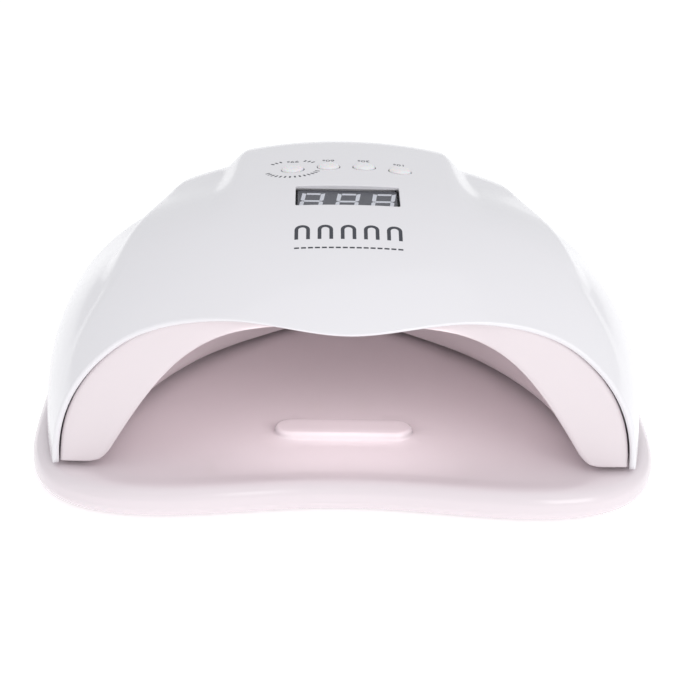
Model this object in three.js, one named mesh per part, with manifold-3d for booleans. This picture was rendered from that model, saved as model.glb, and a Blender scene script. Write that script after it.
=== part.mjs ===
// UV LED nail lamp: an arched head that stands on a loose magnetic base tray.
// Millimetres, +Z up, +Y towards the rear. The origin is at the middle of the footprint, on the table.
import * as THREE from "three";
import { mergeVertices } from "three/addons/utils/BufferGeometryUtils.js";
import Module from "manifold-3d";

const wasm = await Module();
wasm.setup();

// ---- driving dimensions -------------------------------------------------------------------------
const CLEARANCE = 0.3; // gap between touching pieces

const TRAY = {
  halfWidth: 118.5,
  frontDepth: 105.5, // where the front edge would be without its bow
  rearDepth: 99.3,
  squareness: 4.5, // exponent of the rounded-rectangle outline
  dipDepth: 13.7, // how far the front edge bows inwards
  dipWidth: 62,
  dipStartY: -40, // the bow grows from here forwards
  dipReach: 60,
  underside: 1.2, // the feet hold it this far off the table
  top: 12,
  skin: 2.4,
  rimWall: 8,
  ribPitch: 23.5,
  ribThickness: 1.6,
  ribShortfall: 0.6, // the ribs that run fore and aft end this far above the underside
  crossRibShortfall: 1.4, // the ribs across them end higher, so the two sets never share a face
};
const HAND_STOP = { y: -45, length: 52.5, width: 14.5, height: 2.8 };

const SHELL = {
  base: 14, // underside of the head
  lipY: -81, // front edge at the feet
  rearY: 98,
  height: 88.2, // crown above the base
  crownY: 3.5,
  frontDrop: 31.3, // how much lower the roof is at the lip
  frontDropPower: 2.7,
  visorReach: 15.2, // how far the lip sweeps forward in the middle
  visorAngle: rad(60.8),
  visorPower: 1.77,
  halfWidth: 115.7,
  widestY: 12.8,
  frontNarrowing: 9.4,
  narrowingPower: 2.36,
  squareness: [2.25, 2.62, 2.06], // exponent of the section at the lip, between, and at the rear
  squarenessReach: 140,
  rearStartY: 28.4, // the rear starts to round off here
  rearRoundness: 2.57,
  humpRise: 5.8,
  humpAngle: rad(29.2),
  humpEdge: rad(8.2),
  humpFadeY: -45,
  humpFade: 80,
  saddleRise: 7.7,
  saddleFade: 100,
  saddleAngle: rad(50.8),
  saddleEdge: rad(8.9),
  saddleLean: rad(0.1), // the saddle narrows by this for each millimetre rearwards
  saddleFlare: rad(18), // and widens by this towards the lip
  saddleFlareY: -45,
  saddleFlareReach: 36,
  rearFadeY: 58, // the hump and saddle melt into the rear from here
  rearFade: 38,
  wall: 2.4,
  columns: 36,
  rows: 15,
};

const TUNNEL = {
  frontY: -79,
  rearY: 75,
  wall: 2,
  floor: 2.4, // thickness of the head's bottom flange
  lipInset: 0.85,
  lipSetback: 2.2,
  visorInset: 2.6, // further in under the visor, where the liner lies flat under the cover
  visorSetback: 4.5, // and further back, out of sight
  visorEdge: rad(48),
  visorFade: rad(17),
  narrowingPower: 0.8, // how the tunnel closes in and comes down towards the rear
  loweringPower: 3.2,
  loweringRoundness: 2.4,
  columns: 24,
  rows: [0, 0.2, 0.4, 0.58, 0.72, 0.83, 0.92, 0.98, 1], // shares of its depth
};
const ARCH = new THREE.CubicBezierCurve(
  new THREE.Vector2(0, 54.9),
  new THREE.Vector2(49.9, 54.9),
  new THREE.Vector2(59.6, 49.5),
  new THREE.Vector2(88.5, 0),
);

const DISPLAY = {
  y: -25.5,
  levelling: 8, // its plane lies level with the surface this far before and behind it
  openingWidth: 39,
  openingDepth: 18.4,
  recess: 1.6, // from the surface down to the smoked pane
  lensThickness: 0.8,
  seat: 1, // how far the pane runs under the opening's edge
  collar: 2,
  moduleWidth: 37.6, // a standard three-digit, 0.56 inch module
  moduleDepth: 19,
  moduleHeight: 7,
};
// The circuit board hangs this far below the display's plane; V runs rearwards along that plane.
const BOARD = { depth: 13.6, thickness: 1.6, halfWidth: 26, frontV: -15, rearV: 45 };
const BOARD_SCREW_SPOTS = corners([22, -11.5], [22, 41.5]);
const BUTTON = {
  radius: 4.2,
  gap: 0.35,
  flangeRadius: 5.4,
  flangeHeight: 0.9,
  rise: 1.1,
  stemRadius: 1.7,
  travel: 0.6,
  slack: 0.75, // between stem and switch at rest, more than the travel
};
const BUTTON_PLACES = {
  "99s": [-20.9, 4.7],
  "60s": [-6.95, 7.2],
  "30s": [6.95, 7.2],
  "10s": [20.9, 4.7],
};
const SWITCH = { size: 6, body: 3.6, plunger: 1.2, plungerRadius: 1.7 };
const SWITCH_TOP = -BOARD.depth + CLEARANCE + SWITCH.body + SWITCH.plunger;

const LED = { size: 5, height: 1.5, window: 3.9, boardThickness: 1.2 };
// Each LED board lies on the outside of the tunnel: share of the arch from the roof (0) to the
// foot (1), its middle along Y, its half sizes across and along, and where its beads sit.
const LED_BOARDS = {
  led_board_roof: { share: 0, y: -12, across: 22, along: 24, beads: grid([-13, 13], [-16, 0, 16]) },
  led_board_left: { share: -0.66, y: -22, across: 8, along: 28, beads: grid([0], [-20, 0, 20]) },
  led_board_right: { share: 0.66, y: -22, across: 8, along: 28, beads: grid([0], [-20, 0, 20]) },
  led_board_rear: { share: 0, y: 60.5, across: 16, along: 7, beads: grid([-10, 10], [0]) },
};
const SENSOR = { y: -56, across: 12, along: 6, spacing: 13, radius: 2.5, boardHeight: 3, leg: 4.4 };

const SOCKET = {
  z: 30,
  faceY: 96.2,
  radius: 5.2,
  bore: 3.15,
  depth: 9,
  pin: 1,
  nose: 6,
  shoulder: 2.6, // how far behind its face the square body starts
  body: [14, 13, 11],
};
const VENT = { count: 5, pitch: 7.5, firstX: 16, width: 2.4, height: 20, z: 34 };

const FOOT_PLACES = corners([92, -78], [92, 80]);
const CATCH_PLACES = corners([99, -57], [80, 46]);
const PAD_PLACES = corners([97.5, -71], [86, 66]);
const SCREW_PLACES = corners([100, -38], [62, 60]);
const RUBBER_FOOT = { radius: 6, height: 2.1, recess: 1.2, boss: 8 };
const THROUGH = 20; // length of a cutter that has to pass right through a wall
const MAGNET = { radius: 4, height: 2.5, cover: 1.6, boss: 6.2 };
const CATCH = { radius: 4.5, height: 1 };
const PAD = { radius: 3.5, height: 2.3, recess: 0.9 };
const SCREW = { radius: 1.2, length: 12, headRadius: 2.8, headHeight: 1.6, bossRadius: 4.4, bossRise: 2 };
const SCREW_COUNTERBORE = 2.2;
const BOARD_SCREW = { radius: 1.1, length: 8, headRadius: 2.2, headHeight: 1.3, bossRadius: 3 };
const WIRE_RADIUS = 1.1;

// ---- small helpers ------------------------------------------------------------------------------
function rad(degrees) {
  return (degrees * Math.PI) / 180;
}

function smooth(t) {
  const c = THREE.MathUtils.clamp(t, 0, 1);
  return c * c * (3 - 2 * c);
}

function span(count, from, to) {
  return Array.from({ length: count + 1 }, (_, i) => from + ((to - from) * i) / count);
}

function grid(xs, ys) {
  return xs.flatMap((x) => ys.map((y) => [x, y]));
}

function corners(front, rear) {
  return {
    front_left: [-front[0], front[1]],
    front_right: [front[0], front[1]],
    rear_left: [-rear[0], rear[1]],
    rear_right: [rear[0], rear[1]],
  };
}

// A closed geometry as a manifold-3d solid.
function solid(geometry) {
  const bare = new THREE.BufferGeometry();
  const source = geometry.index ? geometry.toNonIndexed() : geometry;
  bare.setAttribute("position", source.getAttribute("position"));
  const merged = mergeVertices(bare, 1e-4);
  return new wasm.Manifold(
    new wasm.Mesh({
      numProp: 3,
      vertProperties: merged.attributes.position.array,
      triVerts: new Uint32Array(merged.index.array),
    }),
  );
}

function geometryOf(body) {
  const mesh = body.getMesh();
  const geometry = new THREE.BufferGeometry();
  geometry.setAttribute("position", new THREE.BufferAttribute(mesh.vertProperties, 3));
  geometry.setIndex(new THREE.BufferAttribute(mesh.triVerts, 1));
  return geometry;
}

// Four-cornered faces as triangles, leaving out those that have shrunk to a line.
function faces(quads) {
  const points = [];
  for (const [a, b, c, d] of quads) {
    for (const triangle of [[a, b, c], [a, c, d]]) {
      const [p, q, r] = triangle;
      const flat = p.distanceTo(q) < 1e-3 || q.distanceTo(r) < 1e-3 || r.distanceTo(p) < 1e-3;
      if (!flat) points.push(...triangle);
    }
  }
  return new THREE.BufferGeometry().setFromPoints(points);
}

// A closed body through rings of points, each ring counter-clockwise seen from the last one's side.
function loft(rings) {
  const quads = [];
  const count = rings[0].length;
  const middle = (ring) =>
    ring.reduce((sum, p) => sum.add(p), new THREE.Vector3()).divideScalar(ring.length);
  const first = middle(rings[0]);
  const last = middle(rings.at(-1));
  for (let i = 0; i < count; i++) {
    const next = (i + 1) % count;
    for (let r = 0; r < rings.length - 1; r++) {
      quads.push([rings[r][i], rings[r][next], rings[r + 1][next], rings[r + 1][i]]);
    }
    quads.push([first, rings[0][next], rings[0][i], first]);
    quads.push([last, rings.at(-1)[i], rings.at(-1)[next], last]);
  }
  return solid(faces(quads));
}

// A closed shell between two sheets of points with the same rows and columns, outer and inner.
function shellBetween(outer, inner) {
  const quads = [];
  const lastRow = outer.length - 1;
  const lastColumn = outer[0].length - 1;
  for (let r = 0; r < lastRow; r++) {
    for (let c = 0; c < lastColumn; c++) {
      quads.push([outer[r][c], outer[r][c + 1], outer[r + 1][c + 1], outer[r + 1][c]]);
      quads.push([inner[r][c], inner[r + 1][c], inner[r + 1][c + 1], inner[r][c + 1]]);
    }
    quads.push([outer[r][0], outer[r + 1][0], inner[r + 1][0], inner[r][0]]);
    const [here, next] = [r, r + 1].map((row) => [outer[row][lastColumn], inner[row][lastColumn]]);
    quads.push([here[0], here[1], next[1], next[0]]);
  }
  for (let c = 0; c < lastColumn; c++) {
    quads.push([outer[0][c], inner[0][c], inner[0][c + 1], outer[0][c + 1]]);
  }
  return solid(faces(quads));
}

// The sheet moved along its own normals. Its two base edges keep their height.
function offsetSheet(sheet, distance) {
  const lastRow = sheet.length - 1;
  const lastColumn = sheet[0].length - 1;
  return sheet.map((row, r) =>
    row.map((point, c) => {
      const across = row[Math.min(c + 1, lastColumn)].clone().sub(row[Math.max(c - 1, 0)]);
      const along = sheet[Math.min(r + 1, lastRow)][c].clone().sub(sheet[Math.max(r - 1, 0)][c]);
      const normal = across.cross(along);
      if (r === lastRow) normal.set(0, 1, 0);
      if (c === 0 || c === lastColumn) normal.z = 0;
      const moved = point.clone().addScaledVector(normal.normalize(), distance);
      if (c === 0 || c === lastColumn || r === lastRow) moved.z = point.z;
      return moved;
    }),
  );
}

function box(width, depth, height, x, y, z) {
  return new THREE.BoxGeometry(width, depth, height).translate(x, y, z);
}

// An upright cylinder that stands on z.
function post(radius, height, x, y, z, sides = 16) {
  const cylinder = new THREE.CylinderGeometry(radius, radius, height, sides);
  return cylinder.rotateX(Math.PI / 2).translate(x, y, z + height / 2);
}

// A turned body about Z, from [radius, height] points that start and end on the axis.
function turned(profile, sides = 16) {
  const points = profile.map(([r, z]) => new THREE.Vector2(r, z));
  return new THREE.LatheGeometry(points, sides).rotateX(Math.PI / 2);
}

function placed(geometry, matrix) {
  return geometry.clone().applyMatrix4(matrix);
}

function pan(size) {
  const { radius, length, headRadius, headHeight } = size;
  return turned([
    [0, 0],
    [headRadius * 0.85, 0],
    [headRadius, headHeight * 0.4],
    [headRadius, headHeight],
    [radius, headHeight],
    [radius, length],
    [0, length + radius],
  ], 10);
}

// ---- the cover's outer surface ------------------------------------------------------------------
function halfWidthAt(y) {
  const t = Math.max((SHELL.widestY - y) / (SHELL.widestY - SHELL.lipY), 0);
  return SHELL.halfWidth - SHELL.frontNarrowing * t ** SHELL.narrowingPower;
}

function heightAt(y) {
  const reach = SHELL.crownY - SHELL.lipY + SHELL.visorReach;
  const t = Math.max((SHELL.crownY - y) / reach, 0);
  return SHELL.height - SHELL.frontDrop * t ** SHELL.frontDropPower;
}

function roundingAt(y) {
  const t = THREE.MathUtils.clamp((y - SHELL.rearStartY) / (SHELL.rearY - SHELL.rearStartY), 0, 1);
  return (1 - t ** SHELL.rearRoundness) ** (1 / SHELL.rearRoundness);
}

// Exponent of the section: rounder at the front and rear than in the middle.
function squarenessAt(y) {
  const [front, middle, rear] = SHELL.squareness;
  const t = THREE.MathUtils.clamp((y - SHELL.lipY) / SHELL.squarenessReach, 0, 1);
  return front * (1 - t) ** 2 + 2 * middle * t * (1 - t) + rear * t ** 2;
}

function saddleAngleAt(y) {
  const flare = smooth((SHELL.saddleFlareY - y) / SHELL.saddleFlareReach);
  return SHELL.saddleAngle - SHELL.saddleLean * y + SHELL.saddleFlare * flare;
}

// Distance of the surface from the axis that runs along Y through the base, at an angle from up.
function coverRadius(angle, y) {
  const rearFade = 1 - smooth((y - SHELL.rearFadeY) / SHELL.rearFade);
  const hump = SHELL.humpRise * rearFade * smooth((y - SHELL.humpFadeY) / SHELL.humpFade);
  const saddle = SHELL.saddleRise * rearFade * smooth((y - SHELL.lipY) / SHELL.saddleFade);
  const n = squarenessAt(y);
  const across = Math.abs(Math.sin(angle)) / halfWidthAt(y);
  const up = Math.abs(Math.cos(angle)) / (heightAt(y) - hump - saddle);
  const side = Math.abs(angle);
  const smoothBody = (across ** n + up ** n) ** (-1 / n);
  const saddleStep = saddle * smooth((saddleAngleAt(y) - side) / SHELL.saddleEdge + 0.5);
  const humpStep = hump * smooth((SHELL.humpAngle - side) / SHELL.humpEdge + 0.5);
  return (smoothBody + saddleStep + humpStep) * roundingAt(y);
}

function lipAt(angle) {
  const t = 1 - (angle / SHELL.visorAngle) ** 2;
  return SHELL.lipY - SHELL.visorReach * Math.max(t, 0) ** SHELL.visorPower;
}

function coverPoint(angle, y) {
  const r = coverRadius(angle, y);
  return new THREE.Vector3(r * Math.sin(angle), y, SHELL.base + r * Math.cos(angle));
}

function coverSheet() {
  return span(SHELL.rows, 0, 1).map((v) =>
    span(SHELL.columns, -Math.PI / 2, Math.PI / 2).map((angle) => {
      const front = lipAt(angle);
      const y = front + (SHELL.rearY - front) * Math.sin((v * Math.PI) / 2);
      const point = coverPoint(angle, y);
      if (Math.abs(angle) > Math.PI / 2 - 1e-6) point.z = SHELL.base;
      return point;
    }),
  );
}

function insideCover(point, depth = 0) {
  const angle = Math.atan2(point.x, point.z - SHELL.base);
  const r = Math.hypot(point.x, point.z - SHELL.base);
  return point.y < SHELL.rearY && r < coverRadius(angle, point.y) - depth;
}

// How far along a direction from a start inside the cover its surface lies, found by halving.
function reachOf(start, direction, depth = 0) {
  let near = 0;
  let far = 2 * SHELL.height;
  for (let i = 0; i < 40; i++) {
    const middle = (near + far) / 2;
    const probe = start.clone().addScaledVector(direction, middle);
    if (insideCover(probe, depth)) near = middle;
    else far = middle;
  }
  return near;
}

// ---- the tunnel's inner surface -----------------------------------------------------------------
function tunnelPoint(share, y) {
  const t = (y - TUNNEL.frontY) / (TUNNEL.rearY - TUNNEL.frontY);
  const narrow = Math.max(1 - t ** 2, 0) ** TUNNEL.narrowingPower;
  const low = Math.max(1 - t ** TUNNEL.loweringPower, 0) ** (1 / TUNNEL.loweringRoundness);
  const p = ARCH.getPoint(Math.abs(share));
  return new THREE.Vector3(Math.sign(share) * p.x * narrow, y, SHELL.base + p.y * low);
}

// A frame on the tunnel's outside: X round the arch, Y rearwards, Z away from the tunnel.
function tunnelFrame({ share, y, across, along }) {
  const step = 0.01;
  const place = tunnelPoint(share, y);
  const round = tunnelPoint(share + step, y).sub(tunnelPoint(share - step, y)).normalize();
  const rearward = tunnelPoint(share, y + 1).sub(tunnelPoint(share, y - 1)).normalize();
  const out = round.clone().cross(rearward).normalize();
  const square = out.clone().cross(round).normalize();
  const turn = new THREE.Matrix4().makeBasis(round, square, out).setPosition(place);
  const toLocal = turn.clone().invert();
  const margin = 2;
  let rise = 0;
  for (const s of span(80, -1, 1)) {
    for (const v of span(60, TUNNEL.frontY, TUNNEL.rearY - 1)) {
      const local = tunnelPoint(s, v).applyMatrix4(toLocal);
      const near = Math.abs(local.x) < across + margin && Math.abs(local.y) < along + margin;
      if (near) rise = Math.max(rise, local.z);
    }
  }
  const lift = rise + TUNNEL.wall + CLEARANCE;
  return turn.multiply(new THREE.Matrix4().makeTranslation(0, 0, lift));
}

// ---- the tilted frame of the display, circuit board and buttons ---------------------------------
function displayFrame() {
  const front = coverPoint(0, DISPLAY.y - DISPLAY.levelling);
  const rear = coverPoint(0, DISPLAY.y + DISPLAY.levelling);
  const tilt = Math.atan2(rear.z - front.z, rear.y - front.y);
  const place = front.add(rear).multiplyScalar(0.5);
  return new THREE.Matrix4().makeRotationX(tilt).setPosition(place);
}

const displayMatrix = displayFrame();
const displayNormal = new THREE.Vector3(0, 0, 1).transformDirection(displayMatrix);

// Height of the cover's surface in the display frame.
function surfaceHeight(x, v, depth = 0) {
  const below = -10;
  const start = new THREE.Vector3(x, v, below).applyMatrix4(displayMatrix);
  return reachOf(start, displayNormal, depth) + below;
}

function buttonSpot(name) {
  const [x, y] = BUTTON_PLACES[name];
  const origin = new THREE.Vector3().setFromMatrixPosition(displayMatrix);
  return [x, (y - origin.y) / displayNormal.z];
}

// ---- base tray ----------------------------------------------------------------------------------
function trayOutline(inset, z, count = 56) {
  return span(count, 0, 2 * Math.PI).slice(0, count).map((angle) => {
    const c = Math.cos(angle);
    const s = Math.sin(angle);
    const n = TRAY.squareness;
    const wide = Math.abs(c) / (TRAY.halfWidth - inset);
    const deep = Math.abs(s) / ((s < 0 ? TRAY.frontDepth : TRAY.rearDepth) - inset);
    const r = (wide ** n + deep ** n) ** (-1 / n);
    const nearFront = smooth((TRAY.dipStartY - r * s) / TRAY.dipReach);
    const bow = Math.exp(-(((r * c) / TRAY.dipWidth) ** 2)) * nearFront;
    return new THREE.Vector3(r * c, r * s + TRAY.dipDepth * bow, z);
  });
}

function handStop() {
  const { y, length, width, height } = HAND_STOP;
  const stadium = (inset, z) => {
    const r = width / 2 - inset;
    const half = length / 2 - width / 2;
    return span(24, 0, 2 * Math.PI).slice(0, 24).map((angle) => {
      const side = Math.cos(angle) >= -1e-9 ? half : -half;
      return new THREE.Vector3(side + r * Math.cos(angle), y + r * Math.sin(angle), z);
    });
  };
  return loft([
    stadium(0, TRAY.top - 1),
    stadium(0, TRAY.top + height * 0.4),
    stadium(height * 0.25, TRAY.top + height * 0.8),
    stadium(height * 0.7, TRAY.top + height),
  ]);
}

function trayRibs() {
  const { halfWidth, frontDepth, ribPitch, ribThickness, underside, top, skin } = TRAY;
  const roof = top - skin;
  const height = roof - underside - TRAY.ribShortfall;
  const crossHeight = roof - underside - TRAY.crossRibShortfall;
  const ribs = [];
  for (let x = -4 * ribPitch; x <= 4 * ribPitch; x += ribPitch) {
    ribs.push(box(ribThickness, 2 * frontDepth, height, x, 0, roof - height / 2));
  }
  for (let y = -3.5 * ribPitch; y <= 3.5 * ribPitch; y += ribPitch) {
    ribs.push(box(2 * halfWidth, ribThickness, crossHeight, 0, y, roof - crossHeight / 2));
  }
  return ribs;
}

function baseTray() {
  const { underside, top, skin, rimWall } = TRAY;
  let body = loft([
    trayOutline(5, underside),
    trayOutline(1.5, underside + 1.1),
    trayOutline(0, underside + 3.4),
    trayOutline(0, top - 4),
    trayOutline(1.2, top - 1.1),
    trayOutline(5, top + 0.4),
    trayOutline(12, top),
  ]);
  let hollow = loft([trayOutline(rimWall, underside - 2, 40), trayOutline(rimWall, top - skin, 40)]);
  const bosses = [
    ...Object.values(FOOT_PLACES).map(([x, y]) => post(RUBBER_FOOT.boss, top, x, y, underside)),
    ...Object.values(CATCH_PLACES).map(([x, y]) => post(MAGNET.boss, top, x, y, underside)),
  ];
  for (const piece of [...trayRibs(), ...bosses]) hollow = hollow.subtract(solid(piece));
  body = body.subtract(hollow).add(handStop());
  for (const [x, y] of Object.values(FOOT_PLACES)) {
    const seat = post(RUBBER_FOOT.radius + CLEARANCE, RUBBER_FOOT.recess + 2, x, y, underside - 2);
    body = body.subtract(solid(seat));
  }
  for (const [x, y] of Object.values(CATCH_PLACES)) {
    const depth = top - MAGNET.cover - underside;
    body = body.subtract(solid(post(MAGNET.radius + CLEARANCE, depth + 2, x, y, underside - 2)));
  }
  return geometryOf(body);
}

function rubberFoot() {
  const { radius, height } = RUBBER_FOOT;
  return turned([
    [0, 0],
    [radius - 1.2, 0],
    [radius - 0.4, 0.4],
    [radius, 1.2],
    [radius, height],
    [0, height],
  ]);
}

// ---- cover --------------------------------------------------------------------------------------
function liftBosses(sheet) {
  const limit = loft(offsetSheet(sheet, -SHELL.wall / 2));
  const up = new THREE.Vector3(0, 0, 1);
  const bottom = SHELL.base + TUNNEL.floor + SCREW.bossRise + 2 * CLEARANCE;
  return Object.values(SCREW_PLACES).map(([x, y]) => {
    const start = new THREE.Vector3(x, y, bottom);
    const height = reachOf(start, up) + SHELL.wall;
    const boss = solid(post(SCREW.bossRadius - 1, height, x, y, bottom, 14)).intersect(limit);
    return boss.subtract(solid(post(SCREW.radius + CLEARANCE, SCREW.length + 1, x, y, bottom - 1, 12)));
  });
}

function boardBosses(sheet) {
  const limit = loft(offsetSheet(sheet, -SHELL.wall / 2));
  const bottom = -BOARD.depth + CLEARANCE;
  return Object.values(BOARD_SCREW_SPOTS).map(([x, v]) => {
    const boss = post(BOARD_SCREW.bossRadius, THROUGH, x, v, bottom, 14);
    const hole = post(BOARD_SCREW.radius + CLEARANCE, BOARD_SCREW.length, x, v, bottom - 1, 10);
    const body = solid(placed(boss, displayMatrix)).intersect(limit);
    return body.subtract(solid(placed(hole, displayMatrix)));
  });
}

function displayFrameCollar(sheet) {
  const limit = loft(offsetSheet(sheet, -SHELL.wall / 2));
  const { openingWidth, openingDepth, collar, seat, recess, lensThickness } = DISPLAY;
  const height = recess + lensThickness + CLEARANCE;
  const margin = 2 * (seat + collar);
  const block = box(openingWidth + margin, openingDepth + margin, height, 0, 0, -height / 2 - 0.2);
  return solid(placed(block, displayMatrix)).intersect(limit);
}

function outerCover() {
  const sheet = coverSheet();
  let body = shellBetween(sheet, offsetSheet(sheet, -SHELL.wall));
  for (const boss of [...liftBosses(sheet), ...boardBosses(sheet), displayFrameCollar(sheet)]) {
    body = body.add(boss);
  }
  const { openingWidth, openingDepth, recess, seat } = DISPLAY;
  const opening = box(openingWidth, openingDepth, THROUGH, 0, 0, 0);
  const rebateZ = -recess - THROUGH / 2;
  const rebate = box(openingWidth + 2 * seat, openingDepth + 2 * seat, THROUGH, 0, 0, rebateZ);
  const cuts = [opening, rebate];
  for (const name of Object.keys(BUTTON_PLACES)) {
    const [x, v] = buttonSpot(name);
    cuts.push(post(BUTTON.radius + BUTTON.gap, THROUGH, x, v, -THROUGH / 2));
  }
  for (const cut of cuts) body = body.subtract(solid(placed(cut, displayMatrix)));
  for (let i = 0; i < VENT.count; i++) {
    for (const side of [-1, 1]) {
      const x = side * (VENT.firstX + i * VENT.pitch);
      body = body.subtract(solid(box(VENT.width, 2 * THROUGH, VENT.height, x, SHELL.rearY, VENT.z)));
    }
  }
  const holeRadius = SOCKET.radius + CLEARANCE;
  const socketHole = new THREE.CylinderGeometry(holeRadius, holeRadius, THROUGH, 24);
  body = body.subtract(solid(socketHole.translate(0, SHELL.rearY, SOCKET.z)));
  return geometryOf(body);
}

// ---- liner --------------------------------------------------------------------------------------
function linerSheet(columns) {
  const angles = span(columns, -Math.PI / 2, Math.PI / 2);
  const edge = angles.map((angle) => {
    const underVisor = smooth((TUNNEL.visorEdge - Math.abs(angle)) / TUNNEL.visorFade);
    const y = lipAt(angle) + TUNNEL.lipSetback + TUNNEL.visorSetback * underVisor;
    const inset = SHELL.wall * 1.1 + TUNNEL.lipInset + TUNNEL.visorInset * underVisor;
    const r = coverRadius(angle, y) - inset;
    return new THREE.Vector3(r * Math.sin(angle), y, SHELL.base + r * Math.cos(angle));
  });
  const arch = (y) => angles.map((angle) => tunnelPoint(angle / (Math.PI / 2), y));
  const mouth = arch(TUNNEL.frontY);
  const band = [0, 0.5].map((k) => edge.map((p, i) => p.clone().lerp(mouth[i], k)));
  const tunnel = TUNNEL.rows.map((d) => arch(TUNNEL.frontY + d * (TUNNEL.rearY - TUNNEL.frontY)));
  const rows = [...band, ...tunnel];
  for (const row of rows) {
    row[0].z = SHELL.base;
    row[columns].z = SHELL.base;
  }
  return rows;
}

// The head's flat underside: from the tunnel's foot out to just inside the cover.
function bottomFlange() {
  const frontY = SHELL.lipY + 5;
  const wallFoot = offsetSheet(coverSheet(), -SHELL.wall - CLEARANCE - 0.1).map((row) => row.at(-1));
  const outer = wallFoot.filter((p) => p.y > frontY);
  const frontX = coverRadius(Math.PI / 2, frontY) - SHELL.wall - 3 * CLEARANCE;
  const half = [new THREE.Vector2(frontX, frontY), ...outer];
  const inner = span(14, TUNNEL.rearY + 0.6, frontY).map((y) => {
    const foot = tunnelPoint(1, Math.min(y, TUNNEL.rearY));
    return new THREE.Vector2(foot.x + 0.4, y);
  });
  const pieces = [1, -1].map((side) => {
    const rim = [...half, ...inner].map((p) => new THREE.Vector2(p.x, p.y));
    rim[half.length - 1].x = -0.1;
    rim[half.length].x = -0.1;
    const shape = new THREE.Shape(rim.map((p) => new THREE.Vector2(side * p.x, p.y)));
    return solid(new THREE.ExtrudeGeometry(shape, { depth: TUNNEL.floor, bevelEnabled: false }));
  });
  return pieces[0].add(pieces[1]).translate([0, 0, SHELL.base]);
}

function innerLiner() {
  const sheet = linerSheet(TUNNEL.columns);
  let body = shellBetween(offsetSheet(sheet, TUNNEL.wall), sheet).add(bottomFlange());
  for (const [x, y] of Object.values(SCREW_PLACES)) {
    body = body.add(solid(post(SCREW.bossRadius, TUNNEL.floor + SCREW.bossRise, x, y, SHELL.base, 16)));
  }
  for (const [x, y] of Object.values(SCREW_PLACES)) {
    const below = SHELL.base - THROUGH / 2;
    const counterboreHeight = SCREW_COUNTERBORE + THROUGH / 2;
    const hole = post(SCREW.radius + CLEARANCE, THROUGH, x, y, below, 12);
    const counterbore = post(SCREW.headRadius + CLEARANCE, counterboreHeight, x, y, below, 16);
    body = body.subtract(solid(hole)).subtract(solid(counterbore));
  }
  for (const [x, y] of Object.values(PAD_PLACES)) {
    const seat = post(PAD.radius + CLEARANCE, THROUGH + PAD.recess, x, y, SHELL.base - THROUGH, 16);
    body = body.subtract(solid(seat));
  }
  const holes = [];
  for (const board of Object.values(LED_BOARDS)) {
    const frame = tunnelFrame(board);
    for (const [x, v] of board.beads) {
      holes.push(placed(post(LED.window, THROUGH, x, v, 2 - THROUGH, 12), frame));
    }
  }
  const sensorFrame = tunnelFrame({ share: 0, ...SENSOR });
  for (const side of [-1, 1]) {
    const x = (side * SENSOR.spacing) / 2;
    const hole = post(SENSOR.radius + CLEARANCE, THROUGH, x, 0, 2 - THROUGH, 12);
    holes.push(placed(hole, sensorFrame));
  }
  for (const hole of holes) body = body.subtract(solid(hole));
  return geometryOf(body);
}

// ---- display, circuit board and buttons ---------------------------------------------------------
function displayWindow() {
  const { openingWidth, openingDepth, seat, recess, lensThickness } = DISPLAY;
  const width = openingWidth + 2 * seat - 2 * CLEARANCE;
  const depth = openingDepth + 2 * seat - 2 * CLEARANCE;
  return box(width, depth, lensThickness, 0, 0, -recess - CLEARANCE - lensThickness / 2);
}

function displayModule() {
  const { moduleWidth, moduleDepth, moduleHeight, recess, lensThickness } = DISPLAY;
  const top = -recess - lensThickness - 2.5 * CLEARANCE;
  const body = box(moduleWidth, moduleDepth, moduleHeight, 0, 0, top - moduleHeight / 2);
  const face = box(moduleWidth - 2 * CLEARANCE, moduleDepth - 2 * CLEARANCE, CLEARANCE, 0, 0, top);
  return geometryOf(solid(body).add(solid(face)));
}

function controlBoard() {
  const { depth, thickness, halfWidth, frontV, rearV } = BOARD;
  const middle = (frontV + rearV) / 2;
  let body = solid(box(2 * halfWidth, rearV - frontV, thickness, 0, middle, -depth - thickness / 2));
  for (const [x, v] of Object.values(BOARD_SCREW_SPOTS)) {
    body = body.subtract(solid(post(BOARD_SCREW.radius + CLEARANCE, 6, x, v, -depth - 4, 12)));
  }
  return geometryOf(body);
}

function buttonBottom(name) {
  const [x, v] = buttonSpot(name);
  const ring = span(12, 0, 2 * Math.PI).map((angle) => {
    const r = BUTTON.flangeRadius;
    return surfaceHeight(x + r * Math.cos(angle), v + r * Math.sin(angle), SHELL.wall * 1.06);
  });
  return Math.min(...ring) - CLEARANCE;
}

function buttonCap(name) {
  const [x, v] = buttonSpot(name);
  const flangeTop = buttonBottom(name);
  const ring = (r, height) =>
    span(16, 0, 2 * Math.PI).slice(0, 16).map((angle) => {
      const dx = r * Math.cos(angle);
      const dv = r * Math.sin(angle);
      return new THREE.Vector3(x + dx, v + dv, height(x + dx, v + dv));
    });
  const flat = (w) => () => w;
  const above = (rise) => (px, pv) => surfaceHeight(px, pv) + rise;
  return geometryOf(
    loft([
      ring(BUTTON.stemRadius, flat(SWITCH_TOP + BUTTON.slack)),
      ring(BUTTON.stemRadius, flat(flangeTop - BUTTON.flangeHeight)),
      ring(BUTTON.flangeRadius, flat(flangeTop - BUTTON.flangeHeight)),
      ring(BUTTON.flangeRadius, flat(flangeTop)),
      ring(BUTTON.radius, flat(flangeTop)),
      ring(BUTTON.radius, above(0.2)),
      ring(BUTTON.radius * 0.85, above(BUTTON.rise * 0.7)),
      ring(BUTTON.radius * 0.4, above(BUTTON.rise)),
    ]),
  );
}

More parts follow.
